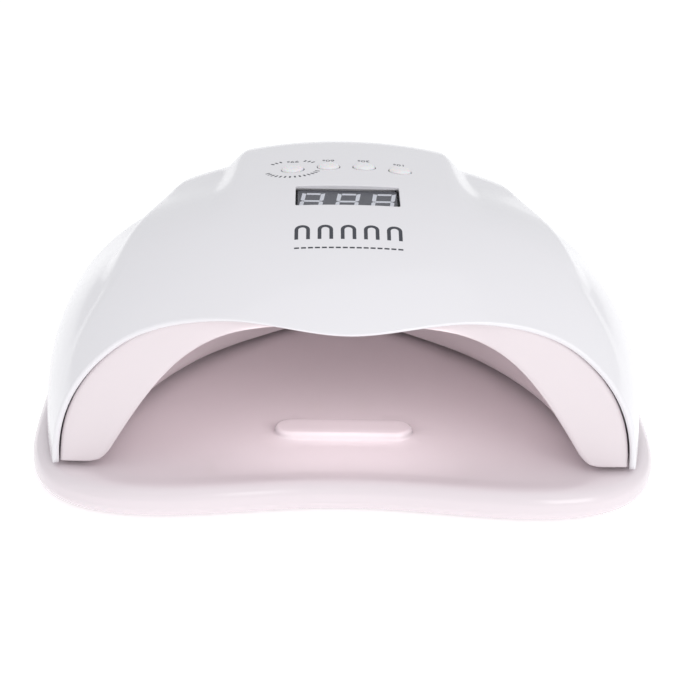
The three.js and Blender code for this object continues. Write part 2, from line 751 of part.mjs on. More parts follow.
function tactSwitch(name) {
  const [x, v] = buttonSpot(name);
  const bottom = -BOARD.depth + CLEARANCE;
  const body = box(SWITCH.size, SWITCH.size, SWITCH.body, x, v, bottom + SWITCH.body / 2);
  const plunger = post(SWITCH.plungerRadius, SWITCH_TOP - bottom - 1, x, v, bottom + 1, 16);
  return geometryOf(solid(body).add(solid(plunger)));
}

function boardScrew([x, v]) {
  const height = -BOARD.depth - BOARD.thickness - CLEARANCE - BOARD_SCREW.headHeight;
  return pan(BOARD_SCREW).translate(x, v, height);
}

// ---- LED boards and hand sensor -----------------------------------------------------------------
function ledBoard(board) {
  const { across, along, beads } = board;
  let body = solid(box(2 * across, 2 * along, LED.boardThickness, 0, 0, LED.boardThickness / 2));
  for (const [x, v] of beads) {
    const middle = (LED.boardThickness - LED.height) / 2;
    body = body.add(solid(box(LED.size, LED.size, LED.height + LED.boardThickness, x, v, middle)));
  }
  return geometryOf(body);
}

function sensorBoard() {
  const { across, along, boardHeight } = SENSOR;
  return box(2 * across, 2 * along, LED.boardThickness, 0, 0, boardHeight);
}

function infraredBead(side) {
  const { radius, spacing, boardHeight, leg } = SENSOR;
  const top = boardHeight - LED.boardThickness / 2 - CLEARANCE;
  const dome = turned([
    [0, top - leg - radius * 0.84],
    [radius * 0.6, top - leg - radius * 0.64],
    [radius, top - leg],
    [radius, top],
    [0, top],
  ], 16);
  return dome.translate((side * spacing) / 2, 0, 0);
}

// ---- power inlet --------------------------------------------------------------------------------
function powerSocket() {
  const { z, faceY, radius, bore, depth, nose, shoulder, body } = SOCKET;
  const collar = new THREE.CylinderGeometry(radius, radius, nose, 24).translate(0, faceY - nose / 2, z);
  const block = box(...body, 0, faceY - shoulder - body[1] / 2, z);
  const hole = new THREE.CylinderGeometry(bore, bore, 2 * depth, 20).translate(0, faceY, z);
  return geometryOf(solid(collar).add(solid(block)).subtract(solid(hole)));
}

function centrePin() {
  const { z, faceY, depth, pin } = SOCKET;
  const length = depth - 1 - CLEARANCE;
  const body = turned([
    [0, 0],
    [pin, 0],
    [pin, length - 0.6],
    [pin * 0.5, length],
    [0, length],
  ], 14);
  return body.rotateX(-Math.PI / 2).translate(0, faceY - depth + CLEARANCE, z);
}

// ---- wiring -------------------------------------------------------------------------------------
function wire(points, steps = 10) {
  const path = new THREE.CatmullRomCurve3(points.map((p) => new THREE.Vector3(...p)));
  const section = new THREE.Shape();
  section.absarc(0, 0, WIRE_RADIUS, 0, 2 * Math.PI);
  return new THREE.ExtrudeGeometry(section, { steps, curveSegments: 3, extrudePath: path });
}

const WIRES = {
  wire_power: [[0, 84, 36.9], [0, 84, 50], [0, 62, 74], [0, 34, 82], [0, 18, 86]],
  wire_left: [[-68, -22, 62], [-66, -10, 72], [-48, 4, 78], [-30, 10, 80], [-16, 12, 86]],
  wire_right: [[68, -22, 62], [66, -10, 72], [48, 4, 78], [30, 10, 80], [16, 12, 86]],
  wire_roof: [[14, -4, 73], [14, 4, 76], [10, 10, 82], [9, 12, 86]],
  wire_sensor: [[-9, -56, 76.2], [-10, -48, 78], [-10, -40, 80], [-10, -34, 82]],
};

// ---- assembly -----------------------------------------------------------------------------------
function material(color, roughness, metalness = 0) {
  return new THREE.MeshStandardMaterial({ color, roughness, metalness });
}

const MATERIALS = {
  coverWhite: material(0xeeecf0, 0.16),
  linerWhite: material(0xeee6ec, 0.3),
  trayWhite: material(0xede5ea, 0.22),
  buttonWhite: material(0xf2f0f1, 0.3),
  smoked: material(0x2c2e33, 0.08),
  displayGrey: material(0x3a3c42, 0.5),
  boardGreen: material(0x1f5a3a, 0.5),
  boardWhite: material(0xe9e9e4, 0.45),
  black: material(0x1b1b1d, 0.5),
  steel: material(0xb9bcc0, 0.35, 1),
  rubber: material(0x3a3a3c, 0.85),
  infrared: material(0x2a1f2b, 0.15),
  clear: material(0xdfe6ea, 0.1),
  wireGrey: material(0xd6d3cf, 0.5),
};

const nailLamp = new THREE.Group();
const head = new THREE.Group();
const displayPlane = new THREE.Group();
displayPlane.applyMatrix4(displayMatrix);
nailLamp.add(head);
head.add(displayPlane);

function put(parent, name, geometry, surface, position = [0, 0, 0]) {
  const mesh = new THREE.Mesh(geometry, surface);
  mesh.name = name;
  mesh.position.set(...position);
  parent.add(mesh);
  return mesh;
}

put(nailLamp, "base_tray", baseTray(), MATERIALS.trayWhite);
for (const [corner, [x, y]] of Object.entries(FOOT_PLACES)) {
  put(nailLamp, `rubber_foot_${corner}`, rubberFoot(), MATERIALS.rubber, [x, y, 0]);
}
for (const [corner, [x, y]] of Object.entries(CATCH_PLACES)) {
  const magnetZ = TRAY.top - MAGNET.cover - CLEARANCE - MAGNET.height;
  const disc = post(MAGNET.radius, MAGNET.height, 0, 0, 0);
  const plate = post(CATCH.radius, CATCH.height, 0, 0, 0);
  put(nailLamp, `tray_magnet_${corner}`, disc, MATERIALS.steel, [x, y, magnetZ]);
  const plateZ = SHELL.base + TUNNEL.floor + CLEARANCE;
  put(head, `catch_plate_${corner}`, plate, MATERIALS.steel, [x, y, plateZ]);
}
for (const [corner, [x, y]] of Object.entries(PAD_PLACES)) {
  const pad = post(PAD.radius, PAD.height, 0, 0, 0);
  put(head, `head_pad_${corner}`, pad, MATERIALS.rubber, [x, y, TRAY.top + CLEARANCE]);
}
for (const [corner, [x, y]] of Object.entries(SCREW_PLACES)) {
  put(head, `liner_screw_${corner}`, pan(SCREW), MATERIALS.steel, [x, y, SHELL.base + CLEARANCE]);
}

put(head, "outer_cover", outerCover(), MATERIALS.coverWhite);
put(head, "inner_liner", innerLiner(), MATERIALS.linerWhite);
put(displayPlane, "display_window", displayWindow(), MATERIALS.smoked);
put(displayPlane, "display_module", displayModule(), MATERIALS.displayGrey);
put(displayPlane, "control_board", controlBoard(), MATERIALS.boardGreen);
for (const name of Object.keys(BUTTON_PLACES)) {
  put(displayPlane, `tact_switch_${name}`, tactSwitch(name), MATERIALS.black);
  put(displayPlane, `button_${name}`, buttonCap(name), MATERIALS.buttonWhite);
}
for (const [corner, spot] of Object.entries(BOARD_SCREW_SPOTS)) {
  put(displayPlane, `board_screw_${corner}`, boardScrew(spot), MATERIALS.steel);
}

for (const [name, board] of Object.entries(LED_BOARDS)) {
  put(head, name, ledBoard(board), MATERIALS.boardWhite).applyMatrix4(tunnelFrame(board));
}
const sensorPlace = tunnelFrame({ share: 0, ...SENSOR });
put(head, "sensor_board", sensorBoard(), MATERIALS.boardGreen).applyMatrix4(sensorPlace);
put(head, "infrared_emitter", infraredBead(-1), MATERIALS.clear).applyMatrix4(sensorPlace);
put(head, "infrared_receiver", infraredBead(1), MATERIALS.infrared).applyMatrix4(sensorPlace);

put(head, "power_socket", powerSocket(), MATERIALS.black);
put(head, "socket_pin", centrePin(), MATERIALS.steel);
for (const [name, points] of Object.entries(WIRES)) {
  put(head, name, wire(points), MATERIALS.wireGrey);
}

export default nailLamp;
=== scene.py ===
"""UV LED nail lamp: the fine visual model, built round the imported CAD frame.

Shapes are worked out in millimetres and turned into metres when a mesh is made.
"""
from math import copysign, cos, hypot, pi, radians, sin, sqrt, tan
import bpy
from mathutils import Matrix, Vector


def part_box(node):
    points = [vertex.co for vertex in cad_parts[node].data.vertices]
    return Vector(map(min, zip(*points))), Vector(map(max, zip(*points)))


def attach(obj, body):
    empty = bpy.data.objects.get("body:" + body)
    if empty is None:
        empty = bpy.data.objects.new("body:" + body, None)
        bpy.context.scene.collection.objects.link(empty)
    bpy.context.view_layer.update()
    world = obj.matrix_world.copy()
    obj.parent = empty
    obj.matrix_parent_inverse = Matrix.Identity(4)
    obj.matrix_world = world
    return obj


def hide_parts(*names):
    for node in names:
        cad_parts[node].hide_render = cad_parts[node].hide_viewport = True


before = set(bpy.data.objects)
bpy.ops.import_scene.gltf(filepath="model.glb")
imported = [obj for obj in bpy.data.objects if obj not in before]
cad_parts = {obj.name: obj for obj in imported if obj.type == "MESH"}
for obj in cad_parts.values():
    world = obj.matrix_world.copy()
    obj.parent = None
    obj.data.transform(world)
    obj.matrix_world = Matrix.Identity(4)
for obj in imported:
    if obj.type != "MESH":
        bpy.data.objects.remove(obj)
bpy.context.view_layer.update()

from types import SimpleNamespace as Sizes

import bmesh
import bpy
import numpy as np
from mathutils import Matrix, Quaternion, Vector
from mathutils.geometry import delaunay_2d_cdt

MM = 0.001

# ---- driving dimensions, in millimetres
SHELL = Sizes(
    base=14, lip_y=-81, rear_y=98, height=88.2, crown_y=3.5, front_drop=31.3, front_drop_power=2.7,
    visor_reach=15.2, visor_angle=radians(60.8), visor_power=1.77,
    half_width=115.7, widest_y=12.8, front_narrowing=9.4, narrowing_power=2.36,
    rear_start_y=28.4, rear_roundness=2.57, squareness=(2.25, 2.62, 2.06), squareness_span=140,
    hump_rise=5.8, hump_angle=radians(29.2), hump_edge=radians(8.2),
    hump_fade_y=-45, hump_fade=80,
    saddle_rise=7.7, saddle_angle=radians(50.8), saddle_edge=radians(8.9), saddle_fade=100,
    saddle_lean=radians(0.1), front_flare=radians(18), front_flare_y=-45, front_flare_span=36,
    rear_fade_y=58, rear_fade=38, wall=2.4, visor_thinning=1.0, thinning_reach=12,
    lip_radius=1.15, base_radius=0.5,
)
TUNNEL = Sizes(
    front_y=-79, rear_y=75, wall=2.0, lip_inset=0.42, lip_setback=2.2, visor_inset=2.6, visor_setback=4.5,
    visor_edge=radians(48), visor_fade=radians(17),
    crowding=0.85, foot_rounding=6, rounding_fade_y=20, rounding_fade=40,
    narrow_power=0.8, low_power=3.2, low_root=1 / 2.4,
    arch=((0, 54.9), (49.9, 54.9), (59.6, 49.5), (88.5, 0)),
)
TRAY = Sizes(
    half_width=118.5, front_depth=105.5, rear_depth=99.3, squareness=4.5, dip_depth=13.7, dip_width=62,
    dip_start=-40, dip_span=60, top=12, skin=2.4, underside=1.2, rim_wall=8, rib_pitch=23.5, rib=1.6,
    rib_shortfall=0.6, cross_rib_shortfall=1.4,
    edge=((5.2, 1.2), (3.0, 1.45), (1.2, 2.6), (0.2, 4.6), (0.1, 6.5), (0.2, 8.4), (1.1, 10.5), (2.9, 11.95),
          (5, 12.4), (8, 12.3), (12, 12.05), (16, 12.0)),
)
# the seats in the tray's underside: the radius of the boss round each, and its own
FOOT_SEAT = (8, 6.3)
MAGNET_SEAT = (6.2, 4.3)
HAND_STOP = Sizes(y=-45, length=52.5, width=14.5, height=2.8, fillet=0.8, rounding=1.5)
DISPLAY = Sizes(
    y=-25.5, opening=(39, 18.4), corner=0.9, recess=1.85, lip=0.4, foot=0.2, pane=0.5, seat=1, collar=0.9,
    fit=0.05, collar_depth=2.9, pane_corner=1.6, module=(37.6, 19, 7), pin_inset=1.9,
    digits=3, digit_pitch=13.4, digit_height=14.9, digit_width=8.6, digit_v=-0.9, segment=1.5,
    segment_gap=0.18, slant=tan(radians(6)), pins=5, pin_pitch=2.54, region=(27, -15, 15, -20),
)
BOARD = Sizes(
    depth=13.6, thickness=1.6, half_width=26, front_v=-15, rear_v=45, screw_x=22, screw_vs=(-11.5, 41.5),
    corner=2, screw_hole=1.4, leg_pitch=1.27, leg=(0.45, 1.3, 0.24), connector=(4.6, 3.4, 3.4),
    resistor=(1.2, 0.8, 0.5), resistor_end=(0.4, 0.9, 0.5),
    # each chip's place and size; each capacitor's place, radius, height, shoulder and sides
    chips=((0, 14, (10, 7.6, 2.2)), (-14, 26, (5, 4, 1.6)), (14, 27, (6.4, 6.2, 2.3))),
    capacitors=((16, 8, 4, 7, 0.4, 40), (18, -4, 2.5, 5.5, 0.3, 32)),
    connectors=((0, 40.5), (-14, 36), (14, 36), (9, 33), (-10, -7)),
)
SWITCH = Sizes(size=6, body=3.6, plunger=1.2, plunger_radius=1.7)
BUTTON = Sizes(
    radius=4.2, gap=0.35, hole_edge=0.45, rise=1.1, flange=5.4, flange_height=0.9, stem=1.7, slack=0.75,
    region=(31, 20, 45, -20),
)
CAP = Sizes(fall=0.75, tip=0.06, roundness=1.6, height=0.97, slant_allowance=1.06)
BUTTON_PLACES = {"99s": (-20.9, 4.7), "60s": (-6.95, 7.2), "30s": (6.95, 7.2), "10s": (20.9, 4.7)}
LED_BOARDS = {
    "led_board_roof": Sizes(share=0, y=-12, across=22, along=24, xs=(-13, 13), ys=(-16, 0, 16), window=3.9),
    "led_board_left": Sizes(share=-0.66, y=-22, across=8, along=28, xs=(0,), ys=(-20, 0, 20), window=3.9),
    "led_board_right": Sizes(share=0.66, y=-22, across=8, along=28, xs=(0,), ys=(-20, 0, 20), window=3.9),
    "led_board_rear": Sizes(share=0, y=60.5, across=16, along=7, xs=(-10, 10), ys=(0,), window=3.9),
}
LED = Sizes(
    size=5, board=1.2, dome=((2.0, -0.98), (1.95, -1.15), (1.6, -1.32), (1.1, -1.43), (0.3, -1.48)),
)
SENSOR = Sizes(
    share=0, y=-56, across=12, along=6, xs=(-6.5, 6.5), ys=(0,), window=2.8, radius=2.5, board_height=3,
    leg=4.4, pin_reach=1.27, dome=0.84, chip=(3.9, 3, 1.2),
)
SOCKET = Sizes(
    z=30, radius=5.2, bore=3.15, depth=9, shoulder=2.6, tag_xs=(-3.6, 0, 3.6), tag=(1.8, 3.6, 0.5),
)
SCREW = Sizes(radius=1.2, length=12, head_radius=2.8, head_height=1.6)
BOARD_SCREW = Sizes(radius=1.1, length=8, head_radius=2.2, head_height=1.3)
PAD_RADIUS = 3.5
CORNERS = ("front_left", "front_right", "rear_left", "rear_right")
WIRE = Sizes(radius=0.52, strand=0.94, lay=9)
ASIDE = (0.3, 0.2, 1)
WIRES = {
    "wire_power": ((0, 84, 36.9), (0, 84, 50), (0, 62, 74), (0, 34, 82), (0, 18, 86)),
    "wire_left": ((-68, -22, 62), (-66, -10, 72), (-48, 4, 78), (-30, 10, 80), (-16, 12, 86)),
    "wire_right": ((68, -22, 62), (66, -10, 72), (48, 4, 78), (30, 10, 80), (16, 12, 86)),
    "wire_roof": ((14, -4, 73), (14, 4, 76), (10, 10, 82), (9, 12, 86)),
    "wire_sensor": ((-9, -56, 76.2), (-10, -48, 78), (-10, -40, 80), (-10, -34, 82)),
}
MOTIF = Sizes(
    y=-57.4, count=5, pitch=8.4, width=5.6, height=8.2, stroke=1.35, dash_y=-4.5, dashes=16, dash_pitch=2.5,
    dash_share=0.72,
)
FIGURES = Sizes(size=3.6, extrude=0.03, rise=9.2, rise_over_ticks=11.6)
TICKS = Sizes(width=0.7, half_length=0.95, arcs=((57, 9, 11.8, 3), (123, 9, 11.8, 3), (270, 70, 10.2, 14)))
PRINT = Sizes(sunk=0.05, raised=0.04)
VENT = Sizes(
    count=5, pitch=7.5, first_x=16, width=2.4, height=20, z=34, edge=0.4, region=(51, -14, 14, -25),
)
# how many steps each skin has, and how far apart the points of each remeshed or flat stretch are
FINENESS = Sizes(
    cover=(170, 120), liner=(128, 8, 64), controls=1.2, vents=1.6, windows=1.6, window_margin=5.2,
    flange=4, board=6, tray=7, stop=3,
)
CLEARANCE = 0.3


# ---- camera and light
CAMERA = Sizes(
    azimuth=radians(1.48), elevation=radians(21.56), roll=radians(1.32),
    target=(0.0027, -0.0075, 0.0311), distance=0.7739, lens=100.3, sensor=36,
)
# each light's name, place, aim, size, watts and colour, in metres
LIGHTS = (
    ("overhead_softbox", (0.1, -0.25, 1.15), (0, -0.05, 0.05), (1.1, 0.8), 0.8, (1, 1, 1)),
    ("front_softbox", (0.68, -1.15, 0.58), (0, 0, 0.05), (0.8, 0.6), 3.95, (1, 1, 1)),
    ("tunnel_fill", (0, -0.084, 0.05), (0, 0.07, 0.034), (0.07, 0.03), 0.02, (1, 0.96, 0.96)),
    ("left_strip", (-0.95, -0.35, 0.55), (0, 0, 0.05), (0.25, 0.9), 0.2, (0.93, 0.96, 1)),
)


def link(name, data):
    made = bpy.data.objects.new(name, data)
    bpy.context.scene.collection.objects.link(made)
    return made


def make_camera():
    forward = Vector((
        sin(CAMERA.azimuth) * cos(CAMERA.elevation),
        cos(CAMERA.azimuth) * cos(CAMERA.elevation),
        -sin(CAMERA.elevation),
    ))
    data = bpy.data.cameras.new("product_camera")
    data.sensor_width = CAMERA.sensor
    data.lens = CAMERA.lens
    data.clip_start = 0.02
    camera = link("product_camera", data)
    camera.rotation_mode = "QUATERNION"
    camera.location = Vector(CAMERA.target) - CAMERA.distance * forward
    camera.rotation_quaternion = forward.to_track_quat("-Z", "Y") @ Quaternion((0, 0, 1), CAMERA.roll)
    bpy.context.scene.camera = camera


def make_light(name, place, aim, size, watts, colour):
    data = bpy.data.lights.new(name, "AREA")
    data.shape = "RECTANGLE"
    data.size, data.size_y = size
    data.energy = watts
    data.color = colour
    light = link(name, data)
    light.location = place
    light.rotation_mode = "QUATERNION"
    light.rotation_quaternion = (Vector(aim) - Vector(place)).to_track_quat("-Z", "Y")


def make_studio():
    world = bpy.data.worlds.new("studio")
    world.use_nodes = True
    background = world.node_tree.nodes["Background"]
    background.inputs["Color"].default_value = (0.97, 0.98, 1, 1)
    background.inputs["Strength"].default_value = 0.76
    scene = bpy.context.scene
    scene.world = world
    scene.view_settings.view_transform = "Standard"
    for light in LIGHTS:
        make_light(*light)
    fill = bpy.data.objects["tunnel_fill"]
    fill.visible_camera = fill.visible_glossy = False


# ---- materials
GLOSS_DRIFT = 0.2
GRAIN_DEPTH = 0.0002


def paint(red, green, blue):
    """A colour given as the usual 0 to 255 values, as the linear values that shaders use."""
    def linear(value):
        value /= 255
        return value / 12.92 if value <= 0.04045 else ((value + 0.055) / 1.055) ** 2.4
    return (linear(red), linear(green), linear(blue), 1)


def noise_in(tree, place, scale, detail):
    texture = tree.nodes.new("ShaderNodeTexNoise")
    texture.inputs["Scale"].default_value = scale
    texture.inputs["Detail"].default_value = detail
    tree.links.new(place.outputs["Object"], texture.inputs["Vector"])
    return texture.outputs["Fac"]


def finish_of(name, colour, roughness, mottle, mottle_scale, grain_scale, bump, sockets):
    """A surface whose colour drifts a little, whose gloss is uneven, and which has a fine grain."""
    colour = paint(*colour)
    material = bpy.data.materials.new(name)
    material.use_nodes = True
    tree = material.node_tree
    nodes, links = tree.nodes, tree.links
    shader = nodes["Principled BSDF"]
    place = nodes.new("ShaderNodeTexCoord")

    drift = nodes.new("ShaderNodeMix")
    drift.data_type = "RGBA"
    drift.inputs["A"].default_value = tuple(c * (1 - mottle) for c in colour[:3]) + (1,)
    drift.inputs["B"].default_value = tuple(min(c * (1 + mottle), 1) for c in colour[:3]) + (1,)
    links.new(noise_in(tree, place, mottle_scale, 3), drift.inputs["Factor"])
    links.new(drift.outputs["Result"], shader.inputs["Base Color"])

    uneven = nodes.new("ShaderNodeMapRange")
    uneven.inputs["To Min"].default_value = roughness * (1 - GLOSS_DRIFT)
    uneven.inputs["To Max"].default_value = roughness * (1 + GLOSS_DRIFT)
    links.new(noise_in(tree, place, grain_scale / 12, 4), uneven.inputs["Value"])
    links.new(uneven.outputs["Result"], shader.inputs["Roughness"])

    grain = nodes.new("ShaderNodeBump")
    grain.inputs["Strength"].default_value = bump
    grain.inputs["Distance"].default_value = GRAIN_DEPTH
    links.new(noise_in(tree, place, grain_scale, 2), grain.inputs["Height"])
    links.new(grain.outputs["Normal"], shader.inputs["Normal"])
    for socket, value in sockets.items():
        shader.inputs[socket].default_value = value
    return material


GLOSS = {"Coat Weight": 0.35, "Coat Roughness": 0.06, "IOR": 1.5}
METAL = {"Metallic": 1.0}
MILKY = {"Subsurface Weight": 0.2, "Subsurface Scale": 0.002, "Coat Weight": 0.3}
RESIN = {"Subsurface Weight": 0.4, "Subsurface Scale": 0.001, "Coat Weight": 0.5}
CLEAR = {"Transmission Weight": 1.0, "IOR": 1.49}
# painted glow: the unlit display segments give off a faint light of their own, so they read lighter under
# the smoked pane
SEGMENT_PAINTED_GLOW = {"Emission Color": (0.9, 0.92, 1, 1), "Emission Strength": 0.1}
BRIGHT = {"Emission Color": (1, 1, 1, 1), "Emission Strength": 0.32}
# each material's name, colour, roughness, mottle, mottle scale, grain scale, bump and other sockets
FINISHES = {
    "cover": ("glossy_white_abs", (237, 235, 238), 0.2, 0.012, 18, 420, 0.03, GLOSS),
    "liner": ("satin_white_abs", (231, 221, 224), 0.34, 0.012, 22, 700, 0.05, {}),
    "tray": ("glossy_pinkish_abs", (233, 223, 227), 0.2, 0.01, 16, 420, 0.03, GLOSS),
    "button": ("milky_button", (242, 240, 241), 0.26, 0.01, 90, 900, 0.02, MILKY),
    "pane": ("smoked_acrylic", (64, 66, 72), 0.05, 0.02, 40, 600, 0.01, {"Alpha": 0.1}),
    "face": ("display_face", (112, 113, 120), 0.55, 0.04, 200, 1500, 0.08, {}),
    # the unlit segments carry a faint painted glow
    "segment": ("unlit_segment_painted_glow", (236, 238, 246), 0.5, 0.03, 300, 1500, 0.04, SEGMENT_PAINTED_GLOW),
    "housing": ("display_housing", (52, 53, 58), 0.5, 0.04, 120, 1400, 0.12, {}),
    "ink": ("grey_ink", (62, 64, 72), 0.55, 0.05, 500, 2500, 0.05, {}),
    "board": ("green_solder_mask", (30, 92, 58), 0.38, 0.12, 260, 1800, 0.06, {}),
    "led_board": ("white_solder_mask", (232, 232, 226), 0.4, 0.02, 200, 1600, 0.05, {}),
    "copper": ("tinned_pads", (205, 200, 188), 0.3, 0.08, 900, 2500, 0.1, METAL),
    "black": ("black_plastic", (30, 30, 32), 0.45, 0.06, 120, 1500, 0.12, {}),
    "steel": ("zinc_plated_steel", (188, 190, 194), 0.32, 0.06, 300, 2200, 0.08, METAL),
    "magnet": ("nickel_plate", (206, 204, 200), 0.2, 0.04, 200, 1800, 0.05, METAL),
    "brass": ("brass_pin", (214, 186, 120), 0.24, 0.05, 400, 2400, 0.05, METAL),
    "rubber": ("grey_rubber", (66, 66, 68), 0.82, 0.1, 150, 1300, 0.35, {}),
    "pad": ("clear_grey_pad", (176, 172, 174), 0.6, 0.05, 150, 1300, 0.2, {}),
    "phosphor": ("led_dome", (226, 218, 170), 0.12, 0.03, 400, 900, 0.02, RESIN),
    "ceramic": ("led_ceramic", (238, 238, 234), 0.45, 0.02, 300, 1500, 0.05, {}),
    "infrared": ("infrared_filter", (42, 28, 44), 0.1, 0.04, 300, 900, 0.02, {"Coat Weight": 0.4}),
    "water_clear": ("clear_lens", (232, 238, 242), 0.06, 0.01, 300, 900, 0.01, CLEAR),
    "red": ("red_wire", (176, 38, 36), 0.45, 0.06, 250, 1500, 0.06, {}),
    "dark": ("black_wire", (34, 34, 36), 0.45, 0.06, 250, 1500, 0.06, {}),
    "white": ("nylon_connector", (230, 226, 214), 0.42, 0.03, 150, 1300, 0.06, {}),
    "floor": ("white_floor", (250, 250, 250), 0.7, 0.004, 3, 60, 0.01, BRIGHT),
}
MATERIALS = {key: finish_of(*look) for key, look in FINISHES.items()}


# ---- outlines in a plane
def circle(radius, count, middle=(0, 0)):
    angle = np.linspace(0, 2 * pi, count, endpoint=False)
    return np.stack([middle[0] + radius * np.cos(angle), middle[1] + radius * np.sin(angle)], -1)


def rounded_rectangle(half_x, half_y, radius, middle=(0, 0)):
    """Points round a rectangle with round corners; the count doesn't depend on the sizes."""
    per_corner, per_side = 8, 10
    points = []
    for corner, (sx, sy) in enumerate(((1, 1), (-1, 1), (-1, -1), (1, -1))):
        turn = np.linspace(corner, corner + 1, per_corner) * pi / 2
        x = sx * (half_x - radius) + radius * np.cos(turn)
        y = sy * (half_y - radius) + radius * np.sin(turn)
        points.append(np.stack([x, y], -1))
    sides = []
    for here, there in zip(points, points[1:] + points[:1]):
        share = np.linspace(0, 1, per_side + 2)[1:-1, None]
        sides += [here, here[-1] + (there[0] - here[-1]) * share]
    return np.concatenate(sides) + np.array(middle)


def centred(count, pitch):
    """Evenly pitched places, centred on 0."""
    return [(n - (count - 1) / 2) * pitch for n in range(count)]


def within(points, outline):
    """Which points of a plane lie inside a closed outline."""
    x, y = points[:, 0, None], points[:, 1, None]
    x0, y0 = outline[:, 0], outline[:, 1]
    x1, y1 = np.roll(x0, -1), np.roll(y0, -1)
    spans = (y0 > y) != (y1 > y)
    rise = np.where(y1 == y0, 1, y1 - y0)
    crossing = x0 + (y - y0) * (x1 - x0) / rise
    return (spans & (x < crossing)).sum(1) % 2 == 1


def within_any(points, outlines):
    hollow = np.zeros(len(points), bool)
    for outline in outlines:
        hollow |= within(points, outline)
    return hollow


def ties_round(counts, start=0):
    """The edges round closed loops of points that are numbered one after another."""
    ties = []
    for count in counts:
        ties += [(start + n, start + (n + 1) % count) for n in range(count)]
        start += count
    return ties


def seeds_between(flat, outlines, spacing, row=1.0, shift=0.0):
    """A grid of loose points, clear of some flat points and outside some outlines."""
    low, high = flat.min(0), flat.max(0)
    x, y = np.meshgrid(np.arange(low[0], high[0], spacing), np.arange(low[1], high[1], spacing * row))
    x[::2] += shift * spacing
    seeds = np.stack([x.ravel(), y.ravel()], -1)
    gap = np.min(np.linalg.norm(seeds[:, None] - flat[None], axis=2), axis=1)
    seeds = seeds[gap > 0.6 * spacing]
    return seeds[~within_any(seeds, outlines)]


def triangles_of(flat, ties, kept=1, nearness=1e-6):
    """Triangles between flat points: corners, faces, faces' middles, and the points corners came from."""
    corners, _, faces, origins, _, _ = delaunay_2d_cdt(
        [Vector(p) for p in flat.tolist()], ties, [], kept, nearness)
    corners = np.array([p[:] for p in corners])
    faces = [list(f) for f in faces]
    return corners, faces, np.array([corners[f].mean(0) for f in faces]), origins


# ---- the cover's and the tunnel's surfaces
def smooth(t):
    c = np.clip(t, 0, 1)
    return c * c * (3 - 2 * c)


def unit(vectors):
    return vectors / np.maximum(np.linalg.norm(vectors, axis=-1, keepdims=True), 1e-12)


def half_width_at(y):
    t = np.maximum((SHELL.widest_y - y) / (SHELL.widest_y - SHELL.lip_y), 0)
    return SHELL.half_width - SHELL.front_narrowing * t ** SHELL.narrowing_power


def height_at(y):
    t = np.maximum((SHELL.crown_y - y) / (SHELL.crown_y - SHELL.lip_y + SHELL.visor_reach), 0)
    return SHELL.height - SHELL.front_drop * t ** SHELL.front_drop_power


def rounding_at(y):
    t = np.clip((y - SHELL.rear_start_y) / (SHELL.rear_y - SHELL.rear_start_y), 0, 1)
    return np.maximum(1 - t ** SHELL.rear_roundness, 0) ** (1 / SHELL.rear_roundness)


def cover_radius(angle, y):
    """Distance of the cover's surface from the axis along Y through the base, at an angle from up."""
    rear_fade = 1 - smooth((y - SHELL.rear_fade_y) / SHELL.rear_fade)
    hump = SHELL.hump_rise * rear_fade * smooth((y - SHELL.hump_fade_y) / SHELL.hump_fade)
    saddle = SHELL.saddle_rise * rear_fade * smooth((y - SHELL.lip_y) / SHELL.saddle_fade)
    front, middle, rear = SHELL.squareness
    t = np.clip((y - SHELL.lip_y) / SHELL.squareness_span, 0, 1)
    n = front * (1 - t) ** 2 + 2 * middle * t * (1 - t) + rear * t ** 2
    across = np.abs(np.sin(angle)) / half_width_at(y)
    up = np.abs(np.cos(angle)) / (height_at(y) - hump - saddle)
    body = (across ** n + up ** n) ** (-1 / n)
    flare = SHELL.front_flare * smooth((SHELL.front_flare_y - y) / SHELL.front_flare_span)
    saddle_angle = SHELL.saddle_angle - SHELL.saddle_lean * y + flare
    side = np.abs(angle)
    saddle_step = saddle * smooth((saddle_angle - side) / SHELL.saddle_edge + 0.5)
    hump_step = hump * smooth((SHELL.hump_angle - side) / SHELL.hump_edge + 0.5)
    return (body + saddle_step + hump_step) * rounding_at(y)


def lip_at(angle):
    t = np.maximum(1 - (angle / SHELL.visor_angle) ** 2, 0)
    return SHELL.lip_y - SHELL.visor_reach * t ** SHELL.visor_power


def cover_gap(points):
    """How far outside the cover's surface points are, measured from its axis."""
    x, z = points[..., 0], points[..., 2] - SHELL.base
    return np.hypot(x, z) - cover_radius(np.arctan2(x, z), points[..., 1])


def arch_at(share):
    """The tunnel mouth's outline, from its crown (0) to its foot (1)."""
    t = np.abs(share)
    weights = ((1 - t) ** 3, 3 * (1 - t) ** 2 * t, 3 * (1 - t) * t ** 2, t ** 3)
    x = sum(w * p[0] for w, p in zip(weights, TUNNEL.arch))
    z = sum(w * p[1] for w, p in zip(weights, TUNNEL.arch))
    return np.sign(share) * x, z


def tunnel_scale(y):
    t = np.clip((y - TUNNEL.front_y) / (TUNNEL.rear_y - TUNNEL.front_y), 0, 1)
    return (1 - t ** 2) ** TUNNEL.narrow_power, (1 - t ** TUNNEL.low_power) ** TUNNEL.low_root


def tunnel_point(share, y):
    x, z = arch_at(share)
    narrow, low = tunnel_scale(y)
    return np.stack(np.broadcast_arrays(x * narrow, y, SHELL.base + z * low), -1)


ARCH_X, ARCH_Z = arch_at(np.linspace(0, 1, 400))
ARCH_ANGLE, ARCH_RADIUS = np.arctan2(ARCH_X, ARCH_Z), np.hypot(ARCH_X, ARCH_Z)


def tunnel_gap(points):
    """How far outside the tunnel's surface points are."""
    narrow, low = tunnel_scale(points[..., 1])
    x = np.abs(points[..., 0]) / np.maximum(narrow, 1e-6)
    z = (points[..., 2] - SHELL.base) / np.maximum(low, 1e-6)
    return np.hypot(x, z) - np.interp(np.arctan2(x, z), ARCH_ANGLE, ARCH_RADIUS)


